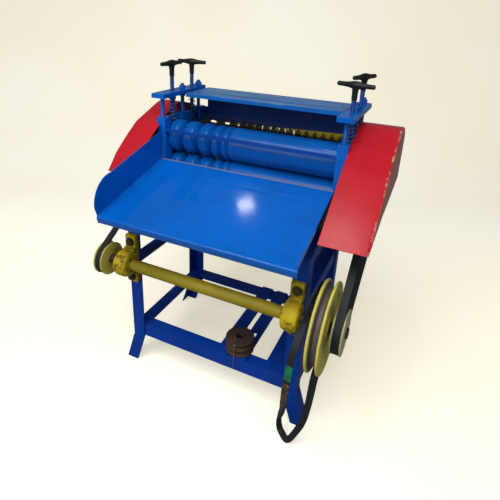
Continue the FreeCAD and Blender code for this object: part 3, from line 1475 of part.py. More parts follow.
def blend_rows(rows, steps):
    """Sections at even steps along a closed smooth curve through the rows."""
    places = [FreeCAD.Vector(*place) for place, out in rows]
    outs = [FreeCAD.Vector(*out).normalize() for place, out in rows]
    curve = Part.BSplineCurve()
    curve.interpolate(Points=places, PeriodicFlag=True)
    marks = [curve.parameter(place) for place in places]
    marks[0] = curve.FirstParameter
    marks.append(curve.LastParameter)
    outs.append(outs[0])
    sections = []
    edge = curve.toShape()
    for step in range(steps):
        mark = edge.getParameterByLength(edge.Length * step / steps)
        index = max(i for i in range(len(rows)) if marks[i] <= mark + 1e-9)
        share = (mark - marks[index]) / (marks[index + 1] - marks[index])
        share = share * share * (3 - 2 * share)
        out = outs[index] * (1 - share) + outs[index + 1] * share
        way = FreeCAD.Vector(*curve.tangent(mark)[0])
        out = (out - way * out.dot(way)).normalize()
        sections.append((curve.value(mark), out, way.cross(out)))
    return sections, edge.Length


def make_loose_belt(steps):
    sections, length = blend_rows(belt_rows, steps)
    half = number(s.b_top / 2)
    narrow = half - number(s.b_height) * FLANK
    rings = []
    for middle, out, across in sections:
        top = middle + out * half_thick
        base = middle - out * half_thick
        corners = [top - across * half, top + across * half,
                   base + across * narrow, base - across * narrow]
        rings.append(corners)
    faces = []
    for index, here in enumerate(rings):
        there = rings[(index + 1) % len(rings)]
        for side in range(4):
            a, b = here[side], here[(side + 1) % 4]
            c, d = there[(side + 1) % 4], there[side]
            faces.append(Part.Face(Part.makePolygon([a, b, c, a])))
            faces.append(Part.Face(Part.makePolygon([a, c, d, a])))
    print("loose belt length", round(length))
    shell = Part.makeShell(faces)
    shell.sewShape()
    return Part.makeSolid(shell)


loose_belt = doc.addObject("Part::Feature", "loose_motor_belt")
loose_belt.Shape = make_loose_belt(72)
node(loose_belt, "loose_motor_belt")

doc.recompute()
for obj in doc.Objects:
    if "Invalid" in obj.State or "Error" in obj.State:
        raise RuntimeError(f"{obj.Label} could not be computed")
for obj in nodes:
    if obj.Shape.isNull() or not obj.Shape.isValid():
        raise RuntimeError(f"{obj.Label} has no valid shape")
    obj.Shape.exportStep(f"parts/{obj.Label}.step")
print(len(nodes), "nodes")
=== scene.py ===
import math

import bpy
import numpy as np
from mathutils import Matrix, Vector


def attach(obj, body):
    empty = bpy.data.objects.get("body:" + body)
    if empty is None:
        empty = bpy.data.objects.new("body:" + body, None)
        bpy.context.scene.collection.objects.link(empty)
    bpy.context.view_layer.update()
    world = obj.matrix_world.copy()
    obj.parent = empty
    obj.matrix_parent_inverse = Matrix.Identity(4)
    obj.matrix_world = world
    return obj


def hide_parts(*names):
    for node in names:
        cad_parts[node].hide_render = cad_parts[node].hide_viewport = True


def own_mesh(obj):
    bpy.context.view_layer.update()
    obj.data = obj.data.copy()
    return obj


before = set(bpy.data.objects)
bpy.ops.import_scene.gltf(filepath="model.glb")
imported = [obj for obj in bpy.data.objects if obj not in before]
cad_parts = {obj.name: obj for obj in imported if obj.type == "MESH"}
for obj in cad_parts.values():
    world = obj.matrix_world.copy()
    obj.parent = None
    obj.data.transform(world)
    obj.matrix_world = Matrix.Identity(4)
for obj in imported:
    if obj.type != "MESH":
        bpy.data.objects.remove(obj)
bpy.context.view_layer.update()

MM = 0.001


# Sizes shared with the solid model, in millimetres

PLATE_X, PLATE_T = 238.0, 26.0
SCREW_X = PLATE_X + PLATE_T / 2
FEED_Y, KNIFE_Y = 58.0, 163.0
FEED_LOW, FEED_HIGH = 548.0, 640.0
KNIFE_LOW, KNIFE_HIGH = 552.0, 636.0
BLOCK_HALF = 26.0
BRIDGE_LOW, BRIDGE_HIGH = 752.0, 764.0
COLLAR_LOW = 741.0
JOURNAL = 15.0
ROLLER_END, ROLLER_RADIUS = 236.5, 45.0
GROOVES = [(-202, 16, 17), (-153, 15, 14), (-110, 13, 11), (-79, 10, 8), (-56, 8, 5)]
BLADES = [groove[0] for groove in GROOVES] + [-30 + 24 * i for i in range(11)]
SHAFT_Y, SHAFT_Z = -206.5, 356.0
ROD_RADIUS = 12.5
BLOCK_X, BLOCK_FACE = 228.0, -185.0
BIG_X, BIG_FACE, BIG_RADIUS = 286.0, 29.0, 101.0
BIG_MIDDLE = BIG_X + BIG_FACE / 2
OUTER_X, LEFT_X, SMALL_FACE = 322.0, -299.0, 25.0
RIGHT_DRIVEN, LEFT_DRIVEN = 92.0, 76.0
RIGHT_DRIVE, LEFT_DRIVE = 50.0, 44.0
BELT_TOP, BELT_HEIGHT, BELT_INSET = 17.0, 11.0, 1.5
FLANK = math.tan(math.radians(19))
SHEET, FOLD = 2.0, 5.0
TRAY_LEFT, TRAY_RIGHT = -250.0, 248.0
TRAY_REAR_Y, TRAY_REAR_Z, TRAY_SLOPE = -8.0, 583.0, 70.0 / 260.0


# Surfaces

LOOP = dict(close_u=True, close_v=True)
RING = dict(LOOP, flip=True)
ROUND = dict(close_v=True, caps=True)
SOLID = dict(ROUND, flip=True)


def unit(rows):
    """Rows of directions, each made one long."""
    return rows / np.linalg.norm(rows, axis=1)[:, None]


def circle(count):
    """Even angles round a circle."""
    return np.linspace(0, 2 * np.pi, count, endpoint=False)


def square_to(line):
    """The way square to a line of (y, z) at each of its points, to the right of its run."""
    way = unit(np.gradient(line, axis=0))
    return np.stack([way[:, 1], -way[:, 0]], 1)


def mesh_object(name, points, faces, sharp=35.0):
    """A mesh from points in millimetres and faces, shaded smooth but for its sharp edges."""
    mesh = bpy.data.meshes.new(name)
    mesh.from_pydata((np.asarray(points, float) * MM).tolist(), [], faces)
    mesh.validate()
    mesh.polygons.foreach_set("use_smooth", [True] * len(mesh.polygons))
    mesh.set_sharp_from_angle(angle=math.radians(sharp))
    obj = bpy.data.objects.new(name, mesh)
    bpy.context.scene.collection.objects.link(obj)
    return obj


def grid_parts(P, close_u=False, close_v=False, caps=False, flip=False, base=0):
    """Points and quads of a surface given at a grid of two parameters, P[u, v]. caps closes
    each end of u with a fan of triangles to the middle of its ring."""
    nu, nv = P.shape[:2]
    points = P.reshape(-1, 3)
    a = np.arange(nu if close_u else nu - 1)[:, None]
    b = np.arange(nv if close_v else nv - 1)[None, :]
    here = (a * nv + b).ravel()
    right = (a * nv + (b + 1) % nv).ravel()
    up = (((a + 1) % nu) * nv + b).ravel()
    diagonal = (((a + 1) % nu) * nv + (b + 1) % nv).ravel()
    order = (here, right, diagonal, up) if not flip else (here, up, diagonal, right)
    faces = (np.stack(order, 1) + base).tolist()
    if caps:
        points = np.vstack([points, P[0].mean(0), P[-1].mean(0)])
        ring = np.arange(nv)
        after = (ring + 1) % nv
        for start, tip, turned in ((0, nu * nv, flip), ((nu - 1) * nv, nu * nv + 1, not flip)):
            pairs = (ring, after) if turned else (after, ring)
            fan = np.stack([pairs[0] + start, pairs[1] + start, np.full(nv, tip)], 1)
            faces += (fan + base).tolist()
    return points, faces


def surface(name, P, sharp=35.0, **how):
    """One mesh from one surface, with the options of grid_parts."""
    points, faces = grid_parts(P, **how)
    return mesh_object(name, points, faces, sharp)


def joined(name, parts, sharp=35.0):
    """One mesh from several (P, options) surfaces. Where options hold a key, the faces of that
    surface get the material of that name."""
    points, faces, keys, base = [], [], [], 0
    for P, how in parts:
        how = dict(how)
        key = how.pop("key", None)
        p, f = grid_parts(P, base=base, **how)
        points.append(p)
        faces += f
        keys += [key] * len(f)
        base += len(p)
    obj = mesh_object(name, np.vstack(points), faces, sharp)
    names = list(dict.fromkeys(keys))
    if names != [None]:
        for key in names:
            obj.data.materials.append(MATERIALS[key])
        obj.data.polygons.foreach_set("material_index", [names.index(key) for key in keys])
    return obj


def keyed(part, key):
    """A surface for joined, with the material of this name."""
    return part[0], dict(part[1], key=key)


def rounded_line(corners, radius, steps=7, closed=False):
    """A line through corners with each corner drawn round: A (1-t)^2 + 2 C t (1-t) + B t^2,
    where A and B lie on the lines before and after the corner C."""
    corners = np.asarray(corners, float)
    count = len(corners)
    made = [] if closed else [corners[0]]
    for i in range(0 if closed else 1, count if closed else count - 1):
        here = corners[i]
        before, after = corners[i - 1] - here, corners[(i + 1) % count] - here
        reach = min(radius, 0.45 * np.linalg.norm(before), 0.45 * np.linalg.norm(after))
        first = here + before / np.linalg.norm(before) * reach
        last = here + after / np.linalg.norm(after) * reach
        for t in np.linspace(0, 1, steps):
            made.append(first * (1 - t) ** 2 + 2 * here * t * (1 - t) + last * t ** 2)
    if not closed:
        made.append(corners[-1])
    return np.array(made)


def slab(corners, low, high, radius, edge):
    """A thick plate across X: a convex rounded outline in (y, z). At both faces it is drawn in
    by the edge's rounding, or out where its corners are listed clockwise."""
    line = rounded_line(corners, radius, 6, closed=True)
    way = unit(np.roll(line, -1, 0) - np.roll(line, 1, 0))
    inward = np.stack([-way[:, 1], way[:, 0]], 1)
    if ((line.mean(0) - line) * inward).sum() < 0:
        line, inward = line[::-1], inward[::-1]
    layers = [(low, edge), (low + 0.3 * edge, 0.3 * edge), (low + edge, 0), (high - edge, 0),
              (high - 0.3 * edge, 0.3 * edge), (high, edge)]
    P = np.array([np.column_stack([np.full(len(line), x), line + inward * inset])
                  for x, inset in layers])
    return P, SOLID


def lathe(profile, centre, axis="X", sides=96):
    """P[u, v] = centre + along(u) * axis + r(u) * (cos v, sin v) in the plane across the axis.
    Profile is a list of (along, radius)."""
    profile = np.asarray(profile, float)
    around = circle(sides)
    r = profile[:, 1:2]
    along = np.repeat(profile[:, 0:1], sides, 1)
    u, v = r * np.cos(around), r * np.sin(around)
    if axis == "X":
        P = np.stack([along, u, v], 2)
    elif axis == "Y":
        P = np.stack([v, along, u], 2)
    else:
        P = np.stack([u, v, along], 2)
    return P + np.asarray(centre, float)


def turned(profile, centre, axis="X", sides=96):
    """A turned piece, closed at both ends."""
    return lathe(profile, centre, axis, sides), SOLID


def ring_turned(profile, centre, sides=128):
    """A turned ring, closed through its bore."""
    return lathe(profile, centre, "X", sides), RING


def tube_loop(centres, outs, section, closed=True):
    """P[u, v] = centre(u) + section_x(v) * across(u) + section_y(v) * out(u), where across is
    square to the path and to its outward direction."""
    if closed:
        ways = unit(np.roll(centres, -1, 0) - np.roll(centres, 1, 0))
    else:
        ways = unit(np.gradient(centres, axis=0))
    outs = unit(outs - ways * (outs * ways).sum(1)[:, None])
    across = np.cross(ways, outs)
    section = np.asarray(section, float)
    return (centres[:, None] + section[None, :, 0:1] * across[:, None]
            + section[None, :, 1:2] * outs[:, None])


def spline(rows, steps):
    """Even steps along a smooth closed curve through rows of numbers: at each row the slope is
    half the way between its neighbours, with cubic blending between rows."""
    rows = np.asarray(rows, float)
    t = np.linspace(0, 1, 24, endpoint=False)[:, None]
    fine = []
    for i in range(len(rows)):
        p0, p1, p2, p3 = (rows[(i + k) % len(rows)] for k in (-1, 0, 1, 2))
        fine.append(0.5 * (2 * p1 + (p2 - p0) * t + (2 * p0 - 5 * p1 + 4 * p2 - p3) * t ** 2
                           + (3 * p1 - 3 * p2 + p3 - p0) * t ** 3))
    fine = np.vstack(fine + [rows[:1]])
    lengths = np.r_[0, np.cumsum(np.linalg.norm(np.diff(fine[:, :3], axis=0), axis=1))]
    marks = np.linspace(0, lengths[-1], steps, endpoint=False)
    return np.stack([np.interp(marks, lengths, column) for column in fine.T], 1)


# Shading

EDGE_WIDTH = 0.002


class Tree:
    """A node tree with short ways to add and link nodes."""

    def __init__(self, tree):
        self.tree = tree

    def add(self, kind, inputs=None, **settings):
        """A node with its settings, and with inputs that are outputs of others or plain values."""
        made = self.tree.nodes.new("ShaderNode" + kind)
        for key, value in settings.items():
            setattr(made, key, value)
        for key, value in (inputs or {}).items():
            if isinstance(value, bpy.types.NodeSocket):
                self.tree.links.new(value, made.inputs[key])
            else:
                made.inputs[key].default_value = value
        return made

    def math(self, operation, a, b=0.0, clamp=False):
        return self.add("Math", {0: a, 1: b}, operation=operation, use_clamp=clamp).outputs[0]

    def plus(self, a, b):
        return self.math("ADD", a, b)

    def times(self, first, *others):
        for other in others:
            first = self.math("MULTIPLY", first, other)
        return first

    def mix(self, factor, a, b):
        """Colour a where factor is 0 and b where it is 1. A plain colour has three numbers."""
        a, b = ((*v, 1.0) if isinstance(v, tuple) else v for v in (a, b))
        return self.add("Mix", {0: factor, 6: a, 7: b}, data_type="RGBA").outputs[2]

    def between(self, value, low, high):
        """0 below low, 1 above high and smooth between."""
        return self.add("MapRange", {"Value": value, "From Min": low, "From Max": high},
                        interpolation_type="SMOOTHSTEP").outputs["Result"]

    def noise(self, where, scale, detail=4.0, rough=0.55):
        return self.add("TexNoise", {"Vector": where, "Scale": scale, "Detail": detail,
                                     "Roughness": rough}).outputs["Fac"]

    def stretched(self, where, scale, rotation=(0, 0, 0)):
        """A place in a pattern that is turned and drawn out."""
        return self.add("Mapping", {"Vector": where, "Scale": scale,
                                    "Rotation": rotation}).outputs[0]

    def axes(self, where):
        """The x, y and z of a place."""
        return self.add("SeparateXYZ", {0: where}).outputs

    def shade(self, inputs):
        """The material's own shader and output."""
        shader = self.add("BsdfPrincipled", inputs)
        self.add("OutputMaterial", {0: shader.outputs[0]})


def make_wear_group():
    """Masks for worn metal: chips at edges and in patches, settled dust and long scratches."""
    group = bpy.data.node_groups.new("wear_masks", "ShaderNodeTree")
    for label, kind in (("Where", "Vector"), ("Chips", "Float"), ("Dirt", "Float"),
                        ("Edge Width", "Float")):
        group.interface.new_socket(label, in_out="INPUT", socket_type="NodeSocket" + kind)
    for label in ("Chip Mask", "Dirt Mask", "Scratch Mask"):
        group.interface.new_socket(label, in_out="OUTPUT", socket_type="NodeSocketFloat")
    tree = Tree(group)
    given = group.nodes.new("NodeGroupInput").outputs
    result = group.nodes.new("NodeGroupOutput").inputs
    where = given["Where"]
    plain = tree.add("NewGeometry").outputs["Normal"]
    rounded = tree.add("Bevel", {"Radius": given["Edge Width"]}, samples=4)
    same = tree.add("VectorMath", {0: plain, 1: rounded.outputs[0]}, operation="DOT_PRODUCT")
    edge = tree.between(tree.math("SUBTRACT", 1.0, same.outputs["Value"]), 0.002, 0.06)
    edge = tree.times(edge, tree.between(tree.noise(where, 60.0, 6.0, 0.7), 0.44, 0.56))
    patches = tree.plus(tree.noise(where, 9.0, 8.0, 0.72),
                        tree.times(tree.noise(where, 90.0, 3.0), 0.16))
    level = tree.math("SUBTRACT", 0.86, tree.times(given["Chips"], 0.14))
    patches = tree.math("MULTIPLY", tree.math("SUBTRACT", patches, level), 30.0, clamp=True)
    strength = tree.math("MULTIPLY", edge, given["Chips"], clamp=True)
    group.links.new(tree.math("MAXIMUM", strength, patches), result["Chip Mask"])
    cloud = tree.plus(tree.noise(where, 5.0, 6.0, 0.65), -0.28)
    settled = tree.plus(0.55, tree.times(tree.axes(plain)[2], 0.45))
    dirt = tree.math("MULTIPLY", tree.times(cloud, settled), 2.0, clamp=True)
    dirt = tree.math("MULTIPLY", dirt, given["Dirt"], clamp=True)
    group.links.new(dirt, result["Dirt Mask"])
    long_way = tree.stretched(where, (220.0, 9.0, 60.0), (0.3, 0.2, 0.5))
    group.links.new(tree.between(tree.noise(long_way, 1.0, 2.0), 0.66, 0.72),
                    result["Scratch Mask"])
    return group


WEAR = make_wear_group()


def new_material(name):
    """An empty material and its node tree."""
    made = bpy.data.materials.new(name)
    made.use_nodes = True
    made.node_tree.nodes.clear()
    return made, Tree(made.node_tree)


def material(name, base, roughness=0.4, metallic=0.0, chips=0.4, dirt=0.4,
             chip_colour=(0.20, 0.19, 0.18), dirt_colour=(0.16, 0.13, 0.10), variation=0.12,
             bump=0.12, bump_scale=60.0, scratch=0.25, streak=None, chip_metal=0.6,
             specular=0.5, zones=()):
    """Painted or bare surface with colour clouds, chips, dust, scratches and a fine bump. A
    streak is a noise's values and its colour; a zone gives a mask and its colour."""
    made, tree = new_material(name)
    where = tree.add("TexCoord").outputs["Object"]
    masks = tree.add("Group", {"Where": where, "Chips": chips, "Dirt": dirt,
                               "Edge Width": EDGE_WIDTH}, node_tree=WEAR).outputs
    chip, dust = masks["Chip Mask"], masks["Dirt Mask"]
    darker = tuple(v * (1 - variation) for v in base)
    lighter = tuple(min(v * (1 + variation), 1.0) for v in base)
    cloud = tree.between(tree.noise(where, 6.0, 5.0, 0.6), 0.3, 0.7)
    colour = tree.mix(cloud, darker, lighter)
    if streak:
        streaks = tree.between(tree.noise(where, *streak[0]), 0.5, 0.62)
        colour = tree.mix(streaks, colour, streak[1])
    for zone in zones:
        factor, tint = zone(tree, where)
        colour = tree.mix(factor, colour, tint)
    colour = tree.mix(dust, colour, dirt_colour)
    colour = tree.mix(chip, colour, chip_colour)
    grazes = tree.times(masks["Scratch Mask"], scratch)
    rough = tree.plus(roughness, tree.times(dust, 0.4))
    rough = tree.plus(rough, tree.times(chip, 0.2))
    rough = tree.math("ADD", rough, tree.times(grazes, 0.5), clamp=True)
    height = tree.plus(tree.noise(where, bump_scale, 4.0), tree.times(chip, -0.6))
    height = tree.plus(height, tree.times(grazes, -0.4))
    rounded = tree.add("Bevel", {"Radius": EDGE_WIDTH / 2}, samples=4)
    normal = tree.add("Bump", {"Strength": bump, "Distance": 0.002, "Height": height,
                               "Normal": rounded.outputs[0]}).outputs[0]
    metal = tree.math("MAXIMUM", metallic, tree.times(chip, chip_metal))
    tree.shade({"Base Color": colour, "Roughness": rough, "Metallic": metal, "Normal": normal,
                "Specular IOR Level": specular})
    return made


def groove_zone(tree, where):
    """Dark in the large pulley's groove: between two distances from the countershaft."""
    x, y, z = tree.axes(where)
    y = tree.plus(y, -SHAFT_Y * MM)
    z = tree.plus(z, -SHAFT_Z * MM)
    radius = tree.math("SQRT", tree.plus(tree.times(y, y), tree.times(z, z)))
    below = tree.between(radius, 0.0995, 0.0965)
    above = tree.between(radius, 0.080, 0.084)
    side = tree.math("ABSOLUTE", tree.plus(x, -BIG_MIDDLE * MM))
    return tree.times(below, above, tree.between(side, 0.0105, 0.0095)), (0.11, 0.09, 0.08)


def bare_ends(tree, where):
    """Oily bare steel on the countershaft outside its bearings."""
    outwards = tree.math("ABSOLUTE", tree.axes(where)[0])
    return tree.between(outwards, 0.246, 0.250), (0.035, 0.03, 0.02)


def shaded_tips(tree, where):
    """The lower ends of the comb's teeth, painted dark in an uneven line: painted shade at the
    comb's lower edge.
    """
    ragged = tree.times(tree.noise(where, 110.0, 3.0), 0.010)
    height = tree.plus(tree.axes(where)[2], ragged)
    return tree.between(height, 0.6560, 0.6525), (0.020, 0.016, 0.012)


def plate_shade_band(tree, where):
    """The comb's upper band, painted with the plate above it down to a slightly slanted line in
    that plate's darker blue, which is painted shade.
    """
    x, y, z = tree.axes(where)
    height = tree.plus(z, tree.times(x, -0.035))
    return tree.between(height, 0.6635, 0.6645), (0.001, 0.030, 0.200)


def painted_reflection_streaks(tree, where):
    """Pale cyan streaks along the top of the cover: a painted reflection of the pale surroundings.
    """
    long_way = tree.stretched(where, (2.0, 42.0, 3.0))
    streaks = tree.between(tree.noise(long_way, 1.6, 5.0, 0.7), 0.42, 0.64)
    top = tree.between(tree.axes(where)[2], 0.752, 0.758)
    return tree.times(streaks, top, 0.65), (0.26, 0.56, 0.68)


def cheek_patches(face, scale, rough, least, most, tint):
    """Patches on the right guard's outer cheek, from this x in metres outwards."""
    def zone(tree, where):
        side = tree.between(tree.axes(where)[0], face, face + 0.002)
        patches = tree.between(tree.noise(where, scale, 6.0, rough), least, most)
        return tree.times(side, patches), tint
    return zone


worn_cheek = cheek_patches(0.3625, 14.0, 0.7, 0.38, 0.50, (0.62, 0.060, 0.035))
pale_scuffs = cheek_patches(0.3605, 24.0, 0.75, 0.54, 0.62, (0.75, 0.42, 0.22))


def height_band(low, high, tint, least=0.36, most=0.52):
    """A worn printed band on the front strand of the loose belt between two heights."""
    def zone(tree, where):
        x, y, z = tree.axes(where)
        band = tree.times(tree.between(z, low, low + 0.004),
                          tree.between(z, high + 0.004, high))
        front = tree.between(y, -0.262, -0.268)
        worn = tree.between(tree.noise(where, 160.0, 4.0, 0.7), least, most)
        return tree.times(band, front, worn), tint
    return zone


green_band = height_band(0.262, 0.300, (0.01, 0.22, 0.09))
orange_band = height_band(0.030, 0.252, (0.42, 0.20, 0.05), 0.52, 0.58)
DEEP_BLUE = (0.003, 0.020, 0.075)
MATT_BLUE = dict(dirt_colour=DEEP_BLUE, specular=0.2)
GLOSSY_SHEET = dict(bump=0.08, bump_scale=14.0, scratch=0.06, dirt=0.15,
                    chip_colour=(0.04, 0.08, 0.2), dirt_colour=DEEP_BLUE)
RUBBER = dict(base=(0.009, 0.009, 0.012), chips=0.1, dirt_colour=(0.05, 0.048, 0.055),
              specular=0.3, chip_metal=0.0, bump=0.25, bump_scale=260.0, scratch=0.1)
MATERIALS = {
    "stand": material("stand_blue", (0.001, 0.050, 0.400), 0.42, chips=0.45,
                      chip_colour=(0.04, 0.07, 0.18), **MATT_BLUE),
    "tray": material("tray_blue", (0.001, 0.122, 0.550), 0.07, chips=0.25, specular=0.35,
                     **GLOSSY_SHEET),
    "head": material("head_blue", (0.001, 0.055, 0.360), 0.35, chips=0.6, specular=0.25,
                     chip_colour=(0.05, 0.08, 0.18), dirt_colour=DEEP_BLUE),
    # A darker copy of the blue paint for the back plate and chute: painted shade.
    "shade_painted_blue": material("shaded_blue", (0.001, 0.030, 0.200), 0.45, dirt=0.5,
                          chip_colour=(0.02, 0.04, 0.12), **MATT_BLUE),
    "guard": material("guard_red", (0.53, 0.012, 0.022), 0.24, chips=0.15, dirt=0.2,
                      specular=0.3, bump=0.10, bump_scale=10.0, scratch=0.03,
                      chip_colour=(0.3, 0.06, 0.05), zones=[worn_cheek, pale_scuffs],
                      dirt_colour=(0.20, 0.010, 0.015)),
    "yellow": material("casting_yellow", (0.66, 0.47, 0.008), 0.5, chips=0.8, dirt=0.9,
                       variation=0.3, bump=1.0, bump_scale=55.0, specular=0.25,
                       streak=((48.0, 5.0, 0.7), (0.16, 0.11, 0.008)),
                       chip_colour=(0.18, 0.13, 0.03), dirt_colour=(0.09, 0.07, 0.015)),
    "shaft": material("shaft_yellow", (0.34, 0.26, 0.008), 0.42, chips=0.5, dirt=0.5,
                      variation=0.2, bump=0.2, bump_scale=60.0, specular=0.3,
                      chip_colour=(0.08, 0.07, 0.05), dirt_colour=(0.07, 0.06, 0.02),
                      zones=[bare_ends]),
    # The comb's dark tooth ends and its dark upper band are painted shade.
    "comb": material("comb_yellow", (0.90, 0.62, 0.02), 0.45, chips=0.5, dirt=0.5,
                     variation=0.25, bump=0.3, bump_scale=90.0, specular=0.3,
                     chip_colour=(0.05, 0.04, 0.03), dirt_colour=(0.10, 0.07, 0.01),
                     zones=[shaded_tips, plate_shade_band]),
    # The cover's pale cyan streaks are a painted reflection.
    "cover": material("cover_blue", (0.002, 0.125, 0.480), 0.16, chips=0.3,
                      zones=[painted_reflection_streaks], **GLOSSY_SHEET),
    "pulley": material("pulley_yellow", (0.70, 0.62, 0.11), 0.42, variation=0.2, bump=0.25,
                       bump_scale=80.0, specular=0.3, chip_colour=(0.14, 0.12, 0.06),
                       dirt_colour=(0.09, 0.08, 0.03), zones=[groove_zone]),
    "grime": material("grimy_heads", (0.045, 0.038, 0.016), 0.6, chips=0.3, dirt=0.9,
                      chip_colour=(0.10, 0.08, 0.03), dirt_colour=(0.02, 0.018, 0.01)),
    "pulley_grey": material("pulley_grey", (0.66, 0.64, 0.30), 0.45, metallic=0.2, chips=0.6,
                            chip_colour=(0.01, 0.30, 0.42), chip_metal=0.0),
    "steel": material("worn_steel", (0.32, 0.32, 0.33), 0.38, metallic=0.9, chips=0.2,
                      chip_colour=(0.2, 0.12, 0.07)),
    "blade": material("ground_blades", (0.30, 0.31, 0.34), 0.28, metallic=0.95, chips=0.3,
                      dirt=0.3, chip_colour=(0.12, 0.10, 0.10)),
    "dark_steel": material("oily_steel", (0.06, 0.065, 0.08), 0.35, metallic=0.8, dirt=0.3,
                           chip_colour=(0.3, 0.3, 0.32), chip_metal=1.0),
    "roller": material("roller_blue", (0.001, 0.098, 0.42), 0.18, chips=0.6, specular=0.22,
                       dirt=0.3, chip_colour=(0.03, 0.16, 0.36), chip_metal=0.4,
                       dirt_colour=DEEP_BLUE),
    "screw": material("screw_blue", (0.002, 0.07, 0.36), 0.4, metallic=0.1, chips=0.6, dirt=0.6,
                      chip_colour=(0.03, 0.04, 0.07), dirt_colour=(0.015, 0.015, 0.02)),
    "spring": material("spring_blue", (0.10, 0.24, 0.50), 0.3, metallic=0.4, chips=0.5,
                       chip_colour=(0.30, 0.34, 0.40), dirt_colour=(0.015, 0.02, 0.05)),
    "rust": material("rusty_iron", (0.045, 0.028, 0.020), 0.75, chips=0.5, dirt=0.5,
                     variation=0.4, bump=0.6, bump_scale=150.0,
                     streak=((30.0, 5.0, 0.6), (0.08, 0.035, 0.016)),
                     chip_colour=(0.10, 0.08, 0.07), dirt_colour=(0.09, 0.045, 0.022)),
    "rubber": material("belt_rubber", roughness=0.55, **RUBBER),
    "label_rubber": material("labelled_rubber", roughness=0.5, zones=[green_band, orange_band],
                             **RUBBER),
    "plastic": material("black_plastic", (0.007, 0.008, 0.008), 0.38, chips=0.1, dirt=0.3,
                        specular=0.3, chip_colour=(0.03, 0.03, 0.03),
                        dirt_colour=(0.04, 0.04, 0.04), chip_metal=0.0),
    "strip": material("worn_strip", (0.36, 0.34, 0.50), 0.42, metallic=0.3, chips=0.8,
                      dirt=0.5, chip_colour=(0.16, 0.15, 0.24)),
}


def paint(obj, key):
    """Gives a piece one material in place of those it has."""
    obj.data.materials.clear()
    obj.data.materials.append(MATERIALS[key])


def finish(obj, key, body, node):
    """Paints a made piece, puts it in the place of its node and lets it ride on its body."""
    if key:
        paint(obj, key)
    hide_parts(node)
    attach(obj, body)


CORNERS = ("front_left", "front_right", "rear_left", "rear_right")
CAD_MATERIALS = {
    "stand": [f"leg_{corner}" for corner in CORNERS] + [
        "top_rails", "middle_rails", "low_rails", "motor_slats", "tray_supports"],
    "cover": ["top_cover"],
    "comb": ["guide_comb"],
    "tray": ["feed_tray", "bridge_left", "bridge_right", "side_plate_left", "side_plate_right"],
    "head": ["guide_bar", "feed_slide_blocks", "knife_slide_blocks", "lower_bearings"],
    "shade_painted_blue": ["back_plate", "outlet_chute"],
    "guard": ["belt_guard_left", "belt_guard_right"],
    "yellow": ["bearing_rings", "countershaft", "motor_side_pulley", "drive_pulleys",
               "pillow_block_left", "pillow_block_right", "left_driven_pulley",
               "right_driven_pulley"],
    "steel": ["bolts", "bridge_posts_and_collars", "tie_wire", "feed_springs", "knife_springs"],
    "dark_steel": [f"{level}_{piece}" for level in ("lower", "upper") for piece in (
        "knife_shaft", "blades", "feed_gear", "knife_gear")],
    "roller": ["lower_feed_roller", "upper_feed_roller"]
              + [f"screw_{corner}" for corner in CORNERS],
    "rust": ["loose_pulley"],
    "rubber": ["left_belt", "right_belt", "loose_motor_belt"],
    "plastic": [f"handle_{corner}" for corner in CORNERS],
    "strip": ["wear_strip"],
}
for key, names in CAD_MATERIALS.items():
    for name in names:
        paint(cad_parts[name], key)


# Feed rollers

def roller_profile(left, right):
    """r(x) = 45 less depth * (1 - |x - groove| / half)^1.7 in each groove, so that the ribs
    between are round; a small radius at both ends."""
    x = np.concatenate([np.linspace(-ROLLER_END, -30, 280), np.linspace(-20, ROLLER_END, 12)])
    r = np.full_like(x, ROLLER_RADIUS)
    for centre, half, depth in GROOVES:
        r -= depth * np.clip(1 - np.abs(x - centre) / half, 0, None) ** 1.7
    r[[0, -1]] -= 1.5
    return journals(list(zip(x, r)), left, right)


def journals(body, left, right):
    """A profile with the round shaft at both sides of its body, chamfered at its ends."""
    return ([(left, JOURNAL - 1.5), (left + 1.5, JOURNAL), (-ROLLER_END, JOURNAL)] + body
            + [(ROLLER_END, JOURNAL), (right - 1.5, JOURNAL), (right, JOURNAL - 1.5)])


for label, z, right in (("lower", FEED_LOW, 353.0), ("upper", FEED_HIGH, 298.0)):
    made = joined(f"{label}_feed_roller_round",
                  [turned(roller_profile(-270.0, right), (0, FEED_Y, z))])
    finish(made, "roller", f"{label}_feed_body", f"{label}_feed_roller")


# Knife shafts and blades

def knife_profile(left, right):
    """Hubs between the blades with a shallow step on each side, and a neck under each blade."""
    half_hub = [(1.4, 26.8), (1.6, 28.6), (7.4, 28.6), (8, 27)]
    body = [(-ROLLER_END, 26)]
    for x in BLADES:
        body += [(x - a, r) for a, r in reversed(half_hub)] + [(x + a, r) for a, r in half_hub]
    return journals(body + [(ROLLER_END, 26)], left, right)


def blade_profile(x):
    """A ring with a flat on both sides and a ground bevel up to its edge."""
    half = [(1.5, 27.2), (1.5, 36.5), (0.2, 40.9)]
    return [(x - a, r) for a, r in half] + [(x + a, r) for a, r in reversed(half)]


for label, z, left in (("lower", KNIFE_LOW, -305.0), ("upper", KNIFE_HIGH, -270.0)):
    made = joined(f"{label}_knife_shaft_round",
                  [turned(knife_profile(left, 298.0), (0, KNIFE_Y, z))], 20.0)
    finish(made, "dark_steel", f"{label}_knife_body", f"{label}_knife_shaft")
    rings = [ring_turned(blade_profile(x), (0, KNIFE_Y, z), 96) for x in BLADES]
    made = joined(f"{label}_blades_round", rings, 20.0)
    finish(made, "blade", f"{label}_knife_body", f"{label}_blades")


# T handles and threaded screws

